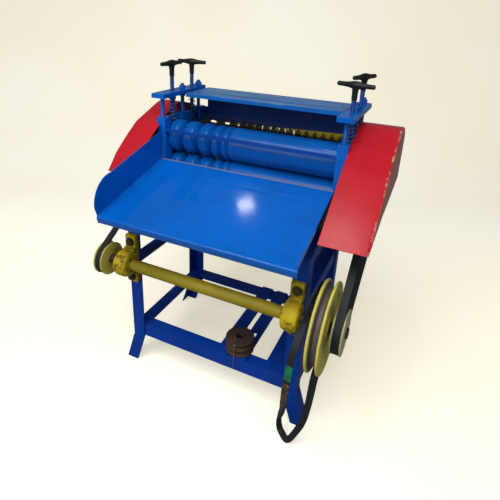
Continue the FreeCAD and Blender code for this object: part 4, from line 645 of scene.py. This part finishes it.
SCREW_RADIUS, SCREW_PITCH = 5.9, 2.0
STUD_RADIUS, STUD_PITCH = 5.8, 1.75
HANDLES = (("front_left", -1, FEED_Y, 88.0, FEED_HIGH, 838.0),
           ("front_right", 1, FEED_Y, -15.0, FEED_HIGH, 827.0),
           ("rear_left", -1, KNIFE_Y, 0.0, KNIFE_HIGH, 835.0),
           ("rear_right", 1, KNIFE_Y, 66.0, KNIFE_HIGH, 835.0))


def level_turn(degrees):
    """The matrix that turns rows of points about Z, anticlockwise seen from above."""
    c, s = math.cos(math.radians(degrees)), math.sin(math.radians(degrees))
    return np.array([[c, s, 0], [-s, c, 0], [0, 0, 1]])


def handle_parts(x, y, height, turn):
    """Bar: r(t) = 5.4 + 3.8 exp(-(t / 17)^2), drawn in at the rounded ends; the sleeve below
    is a trumpet that narrows to the screw."""
    t = np.concatenate([[-47, -46.6, -45.6, -44], np.linspace(-42, 42, 61),
                        [44, 45.6, 46.6, 47]])
    r = 5.4 + 3.8 * np.exp(-(t / 17) ** 2)
    r[:4] = 0.8, 3.0, 4.6, 5.2
    r[-4:] = r[3::-1]
    bar = lathe(list(zip(t, r)), (0, 0, 0), "X", 40) @ level_turn(turn) + (x, y, height)
    sleeve = [(-34, 6.1), (-33.4, 6.7), (-24, 6.7), (-16, 7.0), (-10, 7.8), (-5, 8.8), (0, 9.0)]
    return [(bar, SOLID), turned(sleeve, (x, y, height), "Z", 40)]


def thread(x, y, low, high, radius, pitch):
    """r(v, z) = radius - 0.75 |2 frac(z / pitch - v / 2 pi) - 1|: one start thread."""
    z = np.linspace(low, high, int((high - low) / pitch * 4))[:, None]
    around = circle(20)[None, :]
    wave = np.abs(2 * ((z / pitch - around / (2 * np.pi)) % 1.0) - 1)
    r = radius - 0.75 * wave
    P = np.stack([x + r * np.cos(around), y + r * np.sin(around), z + 0 * around], 2)
    return P, SOLID


for name, side, y, turn, roller_z, height in HANDLES:
    x = side * SCREW_X
    handle = joined(f"handle_{name}_smooth", handle_parts(x, y, height, turn))
    finish(handle, "plastic", f"screw_{name}_body", f"handle_{name}")
    screw = joined(f"screw_{name}_threaded",
                   [thread(x, y, roller_z + BLOCK_HALF + 0.4, height - 33.5, SCREW_RADIUS,
                           SCREW_PITCH)], 60.0)
    finish(screw, "screw", f"screw_{name}_body", f"screw_{name}")


# Springs

def spring_surface(x, y, low, high):
    """A round wire along a helix: centre (x + coil cos t, y + coil sin t, z(t))."""
    turns, coil, wire = 7, 9.5, 1.3
    t = np.linspace(0, turns, turns * 36 + 1)
    z = low + wire + (high - low - 2 * wire) * t / turns
    angle = 2 * np.pi * t
    centres = np.stack([x + coil * np.cos(angle), y + coil * np.sin(angle), z], 1)
    outs = np.stack([np.cos(angle), np.sin(angle), 0 * angle], 1)
    ring = circle(10)
    section = np.stack([wire * np.cos(ring), wire * np.sin(ring)], 1)
    return tube_loop(centres, outs, section, closed=False)


for row, y, z in (("feed", FEED_Y, FEED_HIGH), ("knife", KNIFE_Y, KNIFE_HIGH)):
    low = z + BLOCK_HALF + 0.3
    parts = [(spring_surface(side * SCREW_X, y, low, COLLAR_LOW), ROUND) for side in (-1, 1)]
    made = joined(f"{row}_springs_round", parts, 60.0)
    finish(made, "spring", "machine", f"{row}_springs")
    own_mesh(made)


# Hexagon heads and nuts

def hexagon(centre, axis, radius, height, phase=0.0, hole=0.0):
    """r(v) of a hexagon, cos(30) / cos(v mod 60 - 30), drawn in to a circle at the top."""
    flat = radius * math.cos(math.pi / 6)
    around = circle(48)
    edge = flat / np.cos((around + phase) % (np.pi / 3) - np.pi / 6)
    top = (height, max(hole, flat * 0.35)) if hole else (height * 0.97, flat * 0.3)
    rings = [(0, edge), (height * 0.82, edge), (height * 0.93, np.minimum(edge, flat * 1.04)),
             (height, flat * 0.93), top]
    r = np.array([ring + 0 * around for level, ring in rings])
    u, v = r * np.cos(around), r * np.sin(around)
    along = np.array([level + 0 * around for level, ring in rings])
    sign = 1 if axis[1] == "+" else -1
    order = {"Z": (u, v * sign, along * sign), "X": (along * sign, u, v * sign),
             "Y": (v, along * sign, u * sign)}[axis[0]]
    P = np.stack(order, 2)
    return P + np.asarray(centre, float), SOLID


NUT_RADIUS, NUT_HEIGHT = 10, 9
STUD_LOW = 698.0
posts = []
for side in (-1, 1):
    x = side * SCREW_X
    posts.append(thread(x, 10.0, STUD_LOW, BRIDGE_LOW, STUD_RADIUS, STUD_PITCH))
    for y in (110.5, 202.0):
        low_nut = BRIDGE_LOW - NUT_HEIGHT
        posts.append(thread(x, y, STUD_LOW, low_nut, STUD_RADIUS, STUD_PITCH))
        posts.append(hexagon((x, y, low_nut), "Z+", NUT_RADIUS, NUT_HEIGHT, 0.2 * y))
        posts.append(hexagon((x, y, BRIDGE_HIGH), "Z+", NUT_RADIUS, NUT_HEIGHT, 0.37 * y, 5.5))
        posts.append(thread(x, y, BRIDGE_HIGH + 8.5, BRIDGE_HIGH + 14.4, 5.6, STUD_PITCH))
    for y in (FEED_Y, KNIFE_Y):
        posts.append(turned([(COLLAR_LOW, 8.0), (COLLAR_LOW, 9.6), (COLLAR_LOW + 1, 10.4),
                             (BRIDGE_LOW - 0.5, 10.4), (BRIDGE_LOW, 8.0)], (x, y, 0), "Z", 48))
made = joined("bridge_posts_fine", posts, 40.0)
finish(made, "tray", "machine", "bridge_posts_and_collars")

HEAD_RADIUS, HEAD_HEIGHT = 8.5, 5.3
FOOT_FACE = BLOCK_FACE - 1.8
heads = []
for side in (-1, 1):
    x = side * BLOCK_X
    outer_face = side * (PLATE_X + PLATE_T + SHEET)
    for end in (-1, 1):
        z = SHAFT_Z + end * 52.5
        washer = turned([(FOOT_FACE, 11.5), (BLOCK_FACE, 11.5)], (x, 0, z), "Y", 40)
        heads += [keyed(part, "grime") for part in (
            washer, hexagon((x, FOOT_FACE, z), "Y-", 10, 6, 0.4 * end),
            hexagon((x, -166.0, z), "Y+", 10, 7, 0.3))]
    for y in (110.0, 184.0):
        head = hexagon((outer_face, y, 689.0), "X+" if side > 0 else "X-", HEAD_RADIUS,
                       HEAD_HEIGHT, 0.5)
        heads.append(keyed(head, "screw"))
    for y in (12.0, 155.0):
        head = hexagon((side * 226.0, y, 492.0), "Z+", HEAD_RADIUS, HEAD_HEIGHT, 0.1)
        heads.append(keyed(head, "screw"))
made = joined("bolts_fine", heads, 40.0)
finish(made, None, "machine", "bolts")


# Pillow blocks and countershaft

def housing_profile(middle):
    """r(x) = 28 + 7 sqrt(1 - (x / 19)^2.6), with a face down to the bearing's seat."""
    x = np.linspace(-19, 19, 25)
    r = 28 + 7 * np.sqrt(np.clip(1 - np.abs(x / 19) ** 2.6, 0, 1))
    return ([(middle - 18.4, 20.5)] + [(middle + a, b) for a, b in zip(x, r)]
            + [(middle + 18.4, 20.5)])


for label, side in (("left", -1), ("right", 1)):
    middle = side * BLOCK_X
    parts = [ring_turned(housing_profile(middle), (0, SHAFT_Y, SHAFT_Z), 80)]
    back, front, inner = -170.0, BLOCK_FACE, SHAFT_Y + 4
    foot = [(back, -70), (back, 70), (front, 70), (front, -70)]
    web = [(back - 1, 22), (back - 1, 40), (front, 38), (inner, 31), (inner, 22)]
    for outline, up, half in ((foot, 1, 16.0), (web, -1, 15.5), (web, 1, 15.5)):
        corners = [(y, SHAFT_Z + up * z) for y, z in outline]
        parts.append(slab(corners, middle - half, middle + half, 3.0, 2.0))
    made = joined(f"pillow_block_{label}_cast", parts, 40.0)
    finish(made, "yellow", "machine", f"pillow_block_{label}")

rod = [(-302, ROD_RADIUS - 2), (-300, ROD_RADIUS), (-206, ROD_RADIUS), (-205, 14.0),
       (-187, 14.6), (-185, 15.5), (185, 15.5), (187, 14.6), (205, 14.0), (206, ROD_RADIUS),
       (350, ROD_RADIUS), (352, ROD_RADIUS - 2)]
made = joined("countershaft_turned", [turned(rod, (0, SHAFT_Y, SHAFT_Z), sides=64)], 30.0)
finish(made, "shaft", "countershaft_body", "countershaft")


# Pulleys

def pulley_profile(radius, face, bore, hollow=False):
    """Groove of the belt's own section with rounded rims; a recessed web where hollow."""
    half = BELT_TOP / 2 + 0.35
    mouth = half + BELT_INSET * FLANK
    floor = half - (BELT_HEIGHT + 3) * FLANK
    deep = radius - (BELT_INSET + BELT_HEIGHT + 3)
    c = face / 2
    rim = [(0, radius - 1), (0.9, radius), (c - mouth - 0.6, radius),
           (c - mouth + 0.2, radius - 0.8), (c - floor - 0.3, deep + 0.6),
           (c - floor + 0.4, deep)]
    if hollow:
        inner = deep - 7
        side = [(2.0, bore), (2.0, 27.5), (3.0, 29), (5.4, 30), (6.0, 32), (6.0, inner - 4),
                (5.0, inner - 2), (0.6, inner - 0.4), (0, inner + 0.6)]
    else:
        side = [(0, bore), (0, bore + 6), (1.2, bore + 7), (1.6, deep - 6), (0, deep - 4)]
    left = side + rim
    return left + [(face - along, r) for along, r in reversed(left)]


for label, body, key, profile, place in (
        ("motor_side_pulley", "countershaft_body", "pulley",
         pulley_profile(BIG_RADIUS, BIG_FACE, ROD_RADIUS, True), (BIG_X, SHAFT_Y, SHAFT_Z)),
        ("right_driven_pulley", "lower_feed_body", "pulley_grey",
         pulley_profile(RIGHT_DRIVEN, SMALL_FACE, JOURNAL, True), (OUTER_X, FEED_Y, FEED_LOW)),
        ("left_driven_pulley", "lower_knife_body", "pulley_grey",
         pulley_profile(LEFT_DRIVEN, SMALL_FACE, JOURNAL), (LEFT_X, KNIFE_Y, KNIFE_LOW))):
    made = joined(label + "_turned", [ring_turned(profile, place)], 30.0)
    finish(made, key, body, label)

drive = [keyed(ring_turned(pulley_profile(radius, SMALL_FACE, ROD_RADIUS),
                           (x, SHAFT_Y, SHAFT_Z)), key)
         for radius, x, key in ((RIGHT_DRIVE, OUTER_X, "pulley_grey"),
                                (LEFT_DRIVE, LEFT_X, "pulley"))]
made = joined("drive_pulleys_turned", drive, 30.0)
finish(made, None, "countershaft_body", "drive_pulleys")

# Two grooves side by side, with a short hub's hollow at the top
loose = [(0, 12), (0, 37), (1, 38), (4, 38), (5, 37), (11, 26.5), (17, 37), (18, 38), (22, 38),
         (23, 37), (29, 26.5), (35, 37), (36, 38), (39, 38), (40, 37), (40, 23), (38.5, 21),
         (38.5, 16), (40, 14), (40, 12)]
made = surface("loose_pulley_turned", lathe(loose, (72, -128, 139), "Z"), 30.0, **RING)
finish(made, "rust", "machine", "loose_pulley")


# Belts

def belt_section():
    """A trapezoid with rounded corners, wide side outwards, as (across, out)."""
    half, height = BELT_TOP / 2, BELT_HEIGHT
    narrow = half - height * FLANK
    return [(-half + 0.8, 0), (half - 0.8, 0), (half, -0.9), (half - 0.9 * FLANK - 0.1, -2.0),
            (narrow + 0.2, -height + 0.8), (narrow - 0.6, -height), (-narrow + 0.6, -height),
            (-narrow - 0.2, -height + 0.8), (-half + 0.9 * FLANK + 0.1, -2.0), (-half, -0.9)]


def two_pulley_belt(x, y0, z0, r0, y1, z1, r1):
    """Two straight runs that touch both circles, and the arcs between."""
    a = np.array([y0, z0], float)
    b = np.array([y1, z1], float)
    along = (b - a) / np.linalg.norm(b - a)
    across = np.array([-along[1], along[0]])
    tilt = math.asin((r1 - r0) / np.linalg.norm(b - a))
    path, outs = [], []
    for centre, radius, start, stop in ((b, r1, math.pi / 2 + tilt, -math.pi / 2 - tilt),
                                        (a, r0, -math.pi / 2 - tilt, -3 * math.pi / 2 + tilt)):
        for t in np.linspace(start, stop, 48):
            out = along * math.cos(t) + across * math.sin(t)
            path.append(centre + out * radius)
            outs.append(out)
    path, outs = np.array(path), np.array(outs)
    path = np.column_stack([np.full(len(path), x), path])
    outs = np.column_stack([np.zeros(len(outs)), outs])
    return tube_loop(path, outs, belt_section())


for label, middle, small, y, z, large in (
        ("left_belt", LEFT_X + SMALL_FACE / 2, LEFT_DRIVE, KNIFE_Y, KNIFE_LOW, LEFT_DRIVEN),
        ("right_belt", OUTER_X + SMALL_FACE / 2, RIGHT_DRIVE, FEED_Y, FEED_LOW, RIGHT_DRIVEN)):
    belt = two_pulley_belt(middle, SHAFT_Y, SHAFT_Z, small - BELT_INSET, y, z,
                           large - BELT_INSET)
    made = surface(label + "_round", belt, 40.0, **LOOP)
    finish(made, "rubber", "machine", label)


SEAT = BIG_RADIUS - BELT_INSET - BELT_HEIGHT / 2
RIM = BIG_RADIUS + BELT_HEIGHT / 2


def on_pulley(x, degrees, radius):
    """A place on a circle round the countershaft, and the way outwards there."""
    c, s = math.cos(math.radians(degrees)), math.sin(math.radians(degrees))
    return (x, SHAFT_Y + radius * c, SHAFT_Z + radius * s, 0, c, s)


loose_rows = [
    (BIG_MIDDLE - 33, SHAFT_Y, SHAFT_Z + 18.6, 0, 0, 1),
    (BIG_MIDDLE - 33, SHAFT_Y + 52, SHAFT_Z + 25.6, 0, 0.1, 1),
    on_pulley(BIG_MIDDLE - 29, 16, RIM + 10), on_pulley(BIG_MIDDLE - 16, 1, RIM + 9),
    on_pulley(BIG_MIDDLE - 4, -13, RIM + 4), on_pulley(BIG_MIDDLE - 0.3, -27, RIM - 5),
]
loose_rows += [on_pulley(BIG_MIDDLE, degrees, SEAT) for degrees in (-42, -58, -74, -90)]
loose_rows += [
    (BIG_MIDDLE + x, SHAFT_Y + y, z, a, b, c) for x, y, z, a, b, c in (
        (0, -24, 258, 0, 0.1, -1), (-1, -40, 235, 0, 0.8, -0.6), (-4, -38, 196, 0.1, 1, 0),
        (-17, -18, 94, 0.6, 0.8, 0), (-33, -20, 42, 1, 0.3, 0), (-48, -18, 11, 0.4, 0, -1),
        (-62, -8, 7.5, -0.2, 0, -1), (-76, 2, 15, -0.8, 0, -0.6), (-78, -4, 52, -1, -0.1, 0),
        (-66, -28, 104, -0.9, -0.5, 0), (-54, -62, 176, -0.5, -0.9, 0),
        (-46, -84, 244, -0.2, -1, 0.1), (-42, -84, 300, -0.2, -1, 0.3),
        (-38, -68, 344, -0.2, -0.8, 0.6), (-35, -36, 369, -0.1, -0.4, 0.9))
]
rows = spline(loose_rows, 300)
section = [(a, b + BELT_HEIGHT / 2) for a, b in belt_section()]
made = surface("loose_motor_belt_smooth", tube_loop(rows[:, :3], rows[:, 3:], section), 40.0,
               **LOOP)
finish(made, "label_rubber", "machine", "loose_motor_belt")


# Belt guards

FLANGE_X, FLANGE_LOW = PLATE_X + PLATE_T, 682.0


def bent_guard(name, side, outer_x, roof, bottom, inner_x):
    """A folded sheet: across the roof from its inner edge, over a rounded fold of radius 5 and
    straight down the cheek to its bottom edge, and back along the inside 2 mm lower. P[u, v]
    with u along the roof's rounded outline. The flange that is bolted on stands under it."""
    line = rounded_line(roof, 7.0)
    y, z = line.T
    inward = square_to(line)
    height = z - np.minimum(np.interp(y, *np.transpose(bottom)), z)
    fold = np.minimum(FOLD, 0.5 * height + 0.01)
    inner = np.array([inner_x(value) for value in y])
    columns = []
    for wall in (0.0, SHEET):
        skin = [(inner + (outer_x - FOLD - inner) * share, line + inward * wall)
                for share in (0, 0.25, 0.5, 0.75, 0.94, 1.0)]
        for angle in np.radians([22, 45, 68, 90]):
            x = np.full_like(y, outer_x - FOLD + (FOLD - wall) * math.sin(angle))
            down = fold - (fold - np.minimum(wall, fold)) * math.cos(angle)
            skin.append((x, np.column_stack([y, z - down])))
        for share in (0.15, 0.4, 0.7, 1.0):
            down = fold + (height - fold) * share
            skin.append((np.full_like(y, outer_x - wall), np.column_stack([y, z - down])))
        columns += skin if wall == 0 else skin[::-1]
    P = np.stack([np.column_stack([side * x, place]) for x, place in columns], 1)
    flange_y = np.linspace(3, 198, 24)
    top = np.interp(flange_y, y, z) - SHEET + 0.1
    low = np.full_like(top, FLANGE_LOW)
    flange = np.stack([np.column_stack([np.full_like(top, side * x), flange_y, level])
                       for x, level in ((FLANGE_X, top), (FLANGE_X + SHEET, top),
                                        (FLANGE_X + SHEET, low), (FLANGE_X, low))], 1)
    return joined(name, [(P, dict(close_v=True, flip=side < 0)),
                         (flange, dict(ROUND, flip=side < 0))], 40.0)


right_roof = [(-205, 543), (-42, 657), (66, 715), (85, 725.7), (112, 731), (166, 723), (203, 702),
              (215, 640), (215, 575)]
right_bottom = [(-205, 543), (-102, 565), (42, 565), (215, 575)]
made = bent_guard("belt_guard_right_bent", 1, 366.0, right_roof, right_bottom,
                  lambda y: FLANGE_X)
finish(made, "guard", "machine", "belt_guard_right")
left_roof = [(-132, 569), (-98, 613), (-51, 650), (-6, 681), (96, 719), (114, 722), (150, 717.5),
             (222, 693), (262, 610), (262, 505)]
left_bottom = [(-132, 569), (-60, 535), (20, 505), (262, 505)]
made = bent_guard("belt_guard_left_bent", -1, 332.0, left_roof, left_bottom,
                  lambda y: 252.0 if y < -5.0 else FLANGE_X)
finish(made, "guard", "machine", "belt_guard_left")


# Tray

def bend(x, side, radius, flat, up, below=0.0):
    """A quarter round between an edge and the floor, as (x, height over the floor, way up),
    from the edge on. flat below 1 squeezes it where the sheet has no edge left."""
    angles = [math.radians(a) for a in (0, 30, 60, 90)]
    return [(x + side * radius * math.cos(a), flat * radius * (1 - math.sin(a)) - below, up)
            for a in angles]


def tray_sheet():
    """One folded sheet 2 mm thick. P[u, v]: u runs down the floor's middle line, over the
    rolled nose and down the front lip; v runs round the section, from the left wall's top down
    its outside, round a bend of radius 5, under the floor, up the right lip, and back inside."""
    wall_height, lip_height, corner_y = 78.0, 12.0, -215.0

    def floor_z(y):
        return TRAY_REAR_Z + (y - TRAY_REAR_Y) * TRAY_SLOPE

    stations = [(y, floor_z(y), y, floor_z(y) + wall_height, lip_height)
                for y in np.linspace(TRAY_REAR_Y, corner_y, 9)]
    top = floor_z(corner_y) + wall_height
    for share in np.linspace(0, 1, 12)[1:]:
        y = corner_y - 53.0 * share
        angle = share * np.pi / 2
        stations.append((y, floor_z(y), corner_y - 63.0 * math.sin(angle),
                         top - 70.0 * (1 - math.cos(angle)), lip_height))
    stations[-1] = stations[-1][:4] + (lip_height - 1,)
    stations += [(y, z, y, z, 0.0) for y, z in (
        (-270.2, 512.2), (-271.6, 510.6), (-272.0, 508.6), (-271.4, 504.0), (-269.6, 498.0),
        (-268.0, 493.0))]
    stations = np.array(stations)
    normal = square_to(stations[:, :2])
    left_bend, right_bend = TRAY_LEFT + FOLD, TRAY_RIGHT - FOLD
    floor_x = np.linspace(left_bend, right_bend, 12)[1:-1]
    shares = (1.0, 0.7, 0.4, 0.15)
    rows = []
    for (y, z, top_y, top_z, right), up in zip(stations, normal):
        wall = np.array([top_y - y, top_z - z])
        height = np.linalg.norm(wall)
        lean = wall / height if height > 1 else up
        left_flat = 1.0 if height > 1 else 0.25
        right_flat = 1.0 if right > 1 else 0.25
        rise = [3 * left_flat + max(height - 3, 0.4) * share for share in shares]
        lip_top = 3 * right_flat + max(right - 3, 0.3)
        outside = ([(TRAY_LEFT, h, lean) for h in rise]
                   + bend(left_bend, -1, FOLD, left_flat, up, SHEET)
                   + [(x, -SHEET, up) for x in floor_x]
                   + bend(right_bend, 1, FOLD, right_flat, up, SHEET)[::-1]
                   + [(TRAY_RIGHT, lip_top, up)])
        inside = ([(TRAY_RIGHT - SHEET, lip_top, up)]
                  + bend(right_bend, 1, FOLD - SHEET, right_flat, up)
                  + [(x, 0.0, up) for x in floor_x[::-1]]
                  + bend(left_bend, -1, FOLD - SHEET, left_flat, up)[::-1]
                  + [(TRAY_LEFT + SHEET, h, lean) for h in rise[::-1]])
        rows.append([(x, y + h * d[0], z + h * d[1]) for x, h, d in outside + inside])
    return np.array(rows)


def cogged_strip():
    """A dark strip along the outside of the tray's right lip; its lower edge is a row of
    rounded cogs: height 5.5 + 3.5 tanh(4 sin(2 pi s / 12))."""
    length = 121
    s = np.linspace(0, length, 133)
    y = -19.0 - 114.0 * s / length
    z = 587.5 - 42.0 * s / length
    drop = 5.5 + 3.5 * np.tanh(4 * np.sin(2 * np.pi * s / 12))
    inner, outer = TRAY_RIGHT + 0.2, TRAY_RIGHT + 4.5
    P = np.stack([np.column_stack([np.full_like(s, x), y, z - low * drop])
                  for x, low in ((inner, 0), (outer, 0), (outer, 1), (inner, 1))], 1)
    return P, ROUND


sheet = tray_sheet()
half = sheet.shape[1] // 2
ends = [np.stack([sheet[k, :half], sheet[k, ::-1][:half]], 1) for k in (0, -1)]
parts = [keyed((sheet, dict(close_v=True)), "tray"), keyed((ends[0], {}), "tray"),
         keyed((ends[1], dict(flip=True)), "tray"), keyed(cogged_strip(), "rubber")]
made = joined("feed_tray_folded", parts, 40.0)
finish(made, None, "machine", "feed_tray")


# Camera, light and backdrop

def view_matrix(azimuth, elevation, roll):
    """Looks along +Y at azimuth 0 and along -X at 90, down by the elevation, then rolls."""
    a, e, r = (math.radians(v) for v in (azimuth, elevation, roll))
    forward = Vector((-math.sin(a) * math.cos(e), math.cos(a) * math.cos(e), -math.sin(e)))
    level = Vector((math.cos(a), math.sin(a), 0))
    down = forward.cross(level)
    right = level * math.cos(r) + down * math.sin(r)
    down = down * math.cos(r) - level * math.sin(r)
    return Matrix((right, -down, -forward)).transposed().to_4x4()


CAMERA_AZIMUTH = 24.6
camera_data = bpy.data.cameras.new("camera")
camera_data.sensor_width = 36.0
camera_data.lens = 31.1
camera_data.shift_x = 0.022
camera_data.shift_y = -0.122
camera_data.clip_end = 50.0
camera = bpy.data.objects.new("camera", camera_data)
camera.matrix_world = (Matrix.Translation((0.437, -0.970, 0.964))
                       @ view_matrix(CAMERA_AZIMUTH, 21.8, -2.28))
bpy.context.scene.collection.objects.link(camera)
bpy.context.scene.camera = camera


def backdrop():
    """A floor that rises in a quarter round behind the object: (x, y(s), z(s))."""
    start, radius, height = 1200, 1500, 4500
    line = [(-2500, 0.0), (start, 0.0)]
    line += [(start + radius * math.sin(s), radius * (1 - math.cos(s)))
             for s in np.linspace(0, np.pi / 2, 24)[1:]]
    line = np.array(line + [(start + radius, height)])
    P = np.stack([np.column_stack([np.full(len(line), x), line])
                  for x in np.linspace(-5000, 5000, 9)], 1)
    return surface("backdrop", P @ level_turn(CAMERA_AZIMUTH), 180.0)


def backdrop_material():
    """Pale cream in the camera's view; a plain grey floor for the light, a glow in gloss."""
    made, tree = new_material("backdrop_cream")
    where = tree.add("TexCoord").outputs["Object"]
    cloud = tree.between(tree.noise(where, 0.8, 2.0), 0.3, 0.7)
    shown = tree.mix(cloud, (0.90, 0.84, 0.66), (0.92, 0.88, 0.76))
    path = tree.add("LightPath").outputs
    seen = path["Is Camera Ray"]
    tree.shade({
        "Base Color": tree.mix(seen, (0.20, 0.19, 0.18), shown), "Roughness": 0.9,
        "Specular IOR Level": 0.1, "Emission Color": tree.mix(seen, (0.75, 0.9, 1.0), shown),
        "Emission Strength": tree.plus(tree.times(seen, 0.62),
                                       tree.times(path["Is Glossy Ray"], 0.12))})
    return made


floor = backdrop()
floor.data.materials.append(backdrop_material())


def area_light(name, place, target, size, power):
    """A lamp of this size in metres and power in watts, turned towards its target."""
    light = bpy.data.lights.new(name, "AREA")
    light.shape = "RECTANGLE"
    light.size, light.size_y = size
    light.energy = power
    obj = bpy.data.objects.new(name, light)
    way = Vector(place) - Vector(target)
    turned_to = way.to_track_quat("Z", "Y").to_matrix().to_4x4()
    obj.matrix_world = Matrix.Translation(place) @ turned_to
    bpy.context.scene.collection.objects.link(obj)


area_light("ceiling", (0.1, -1.35, 2.5), (0, 0, 0.5), (2.2, 1.2), 44.0)
area_light("front_fill", (-0.8, -2.4, 1.5), (0, -0.1, 0.40), (1.8, 1.4), 20.0)
area_light("right_fill", (2.2, -0.9, 1.3), (0.1, 0, 0.5), (1.2, 1.2), 5.0)
area_light("tray_glare", (-0.66, 0.92, 2.09), (0.076, -0.144, 0.560), (0.10, 0.08), 0.45)
area_light("guard_glare", (0.01, -0.44, 2.4), (0.30, -0.19, 0.553), (0.12, 0.08), 2.4)

world = bpy.data.worlds.new("world")
world.use_nodes = True
bpy.context.scene.world = world
sky = Tree(world.node_tree)
sky_seen = sky.add("LightPath").outputs["Is Camera Ray"]
background = world.node_tree.nodes["Background"].inputs
world.node_tree.links.new(sky.mix(sky_seen, (0.80, 0.90, 1.0), (0.90, 0.86, 0.72)),
                          background["Color"])
world.node_tree.links.new(sky.plus(0.14, sky.times(sky_seen, 0.82)), background["Strength"])
bpy.context.scene.view_settings.view_transform = "Standard"
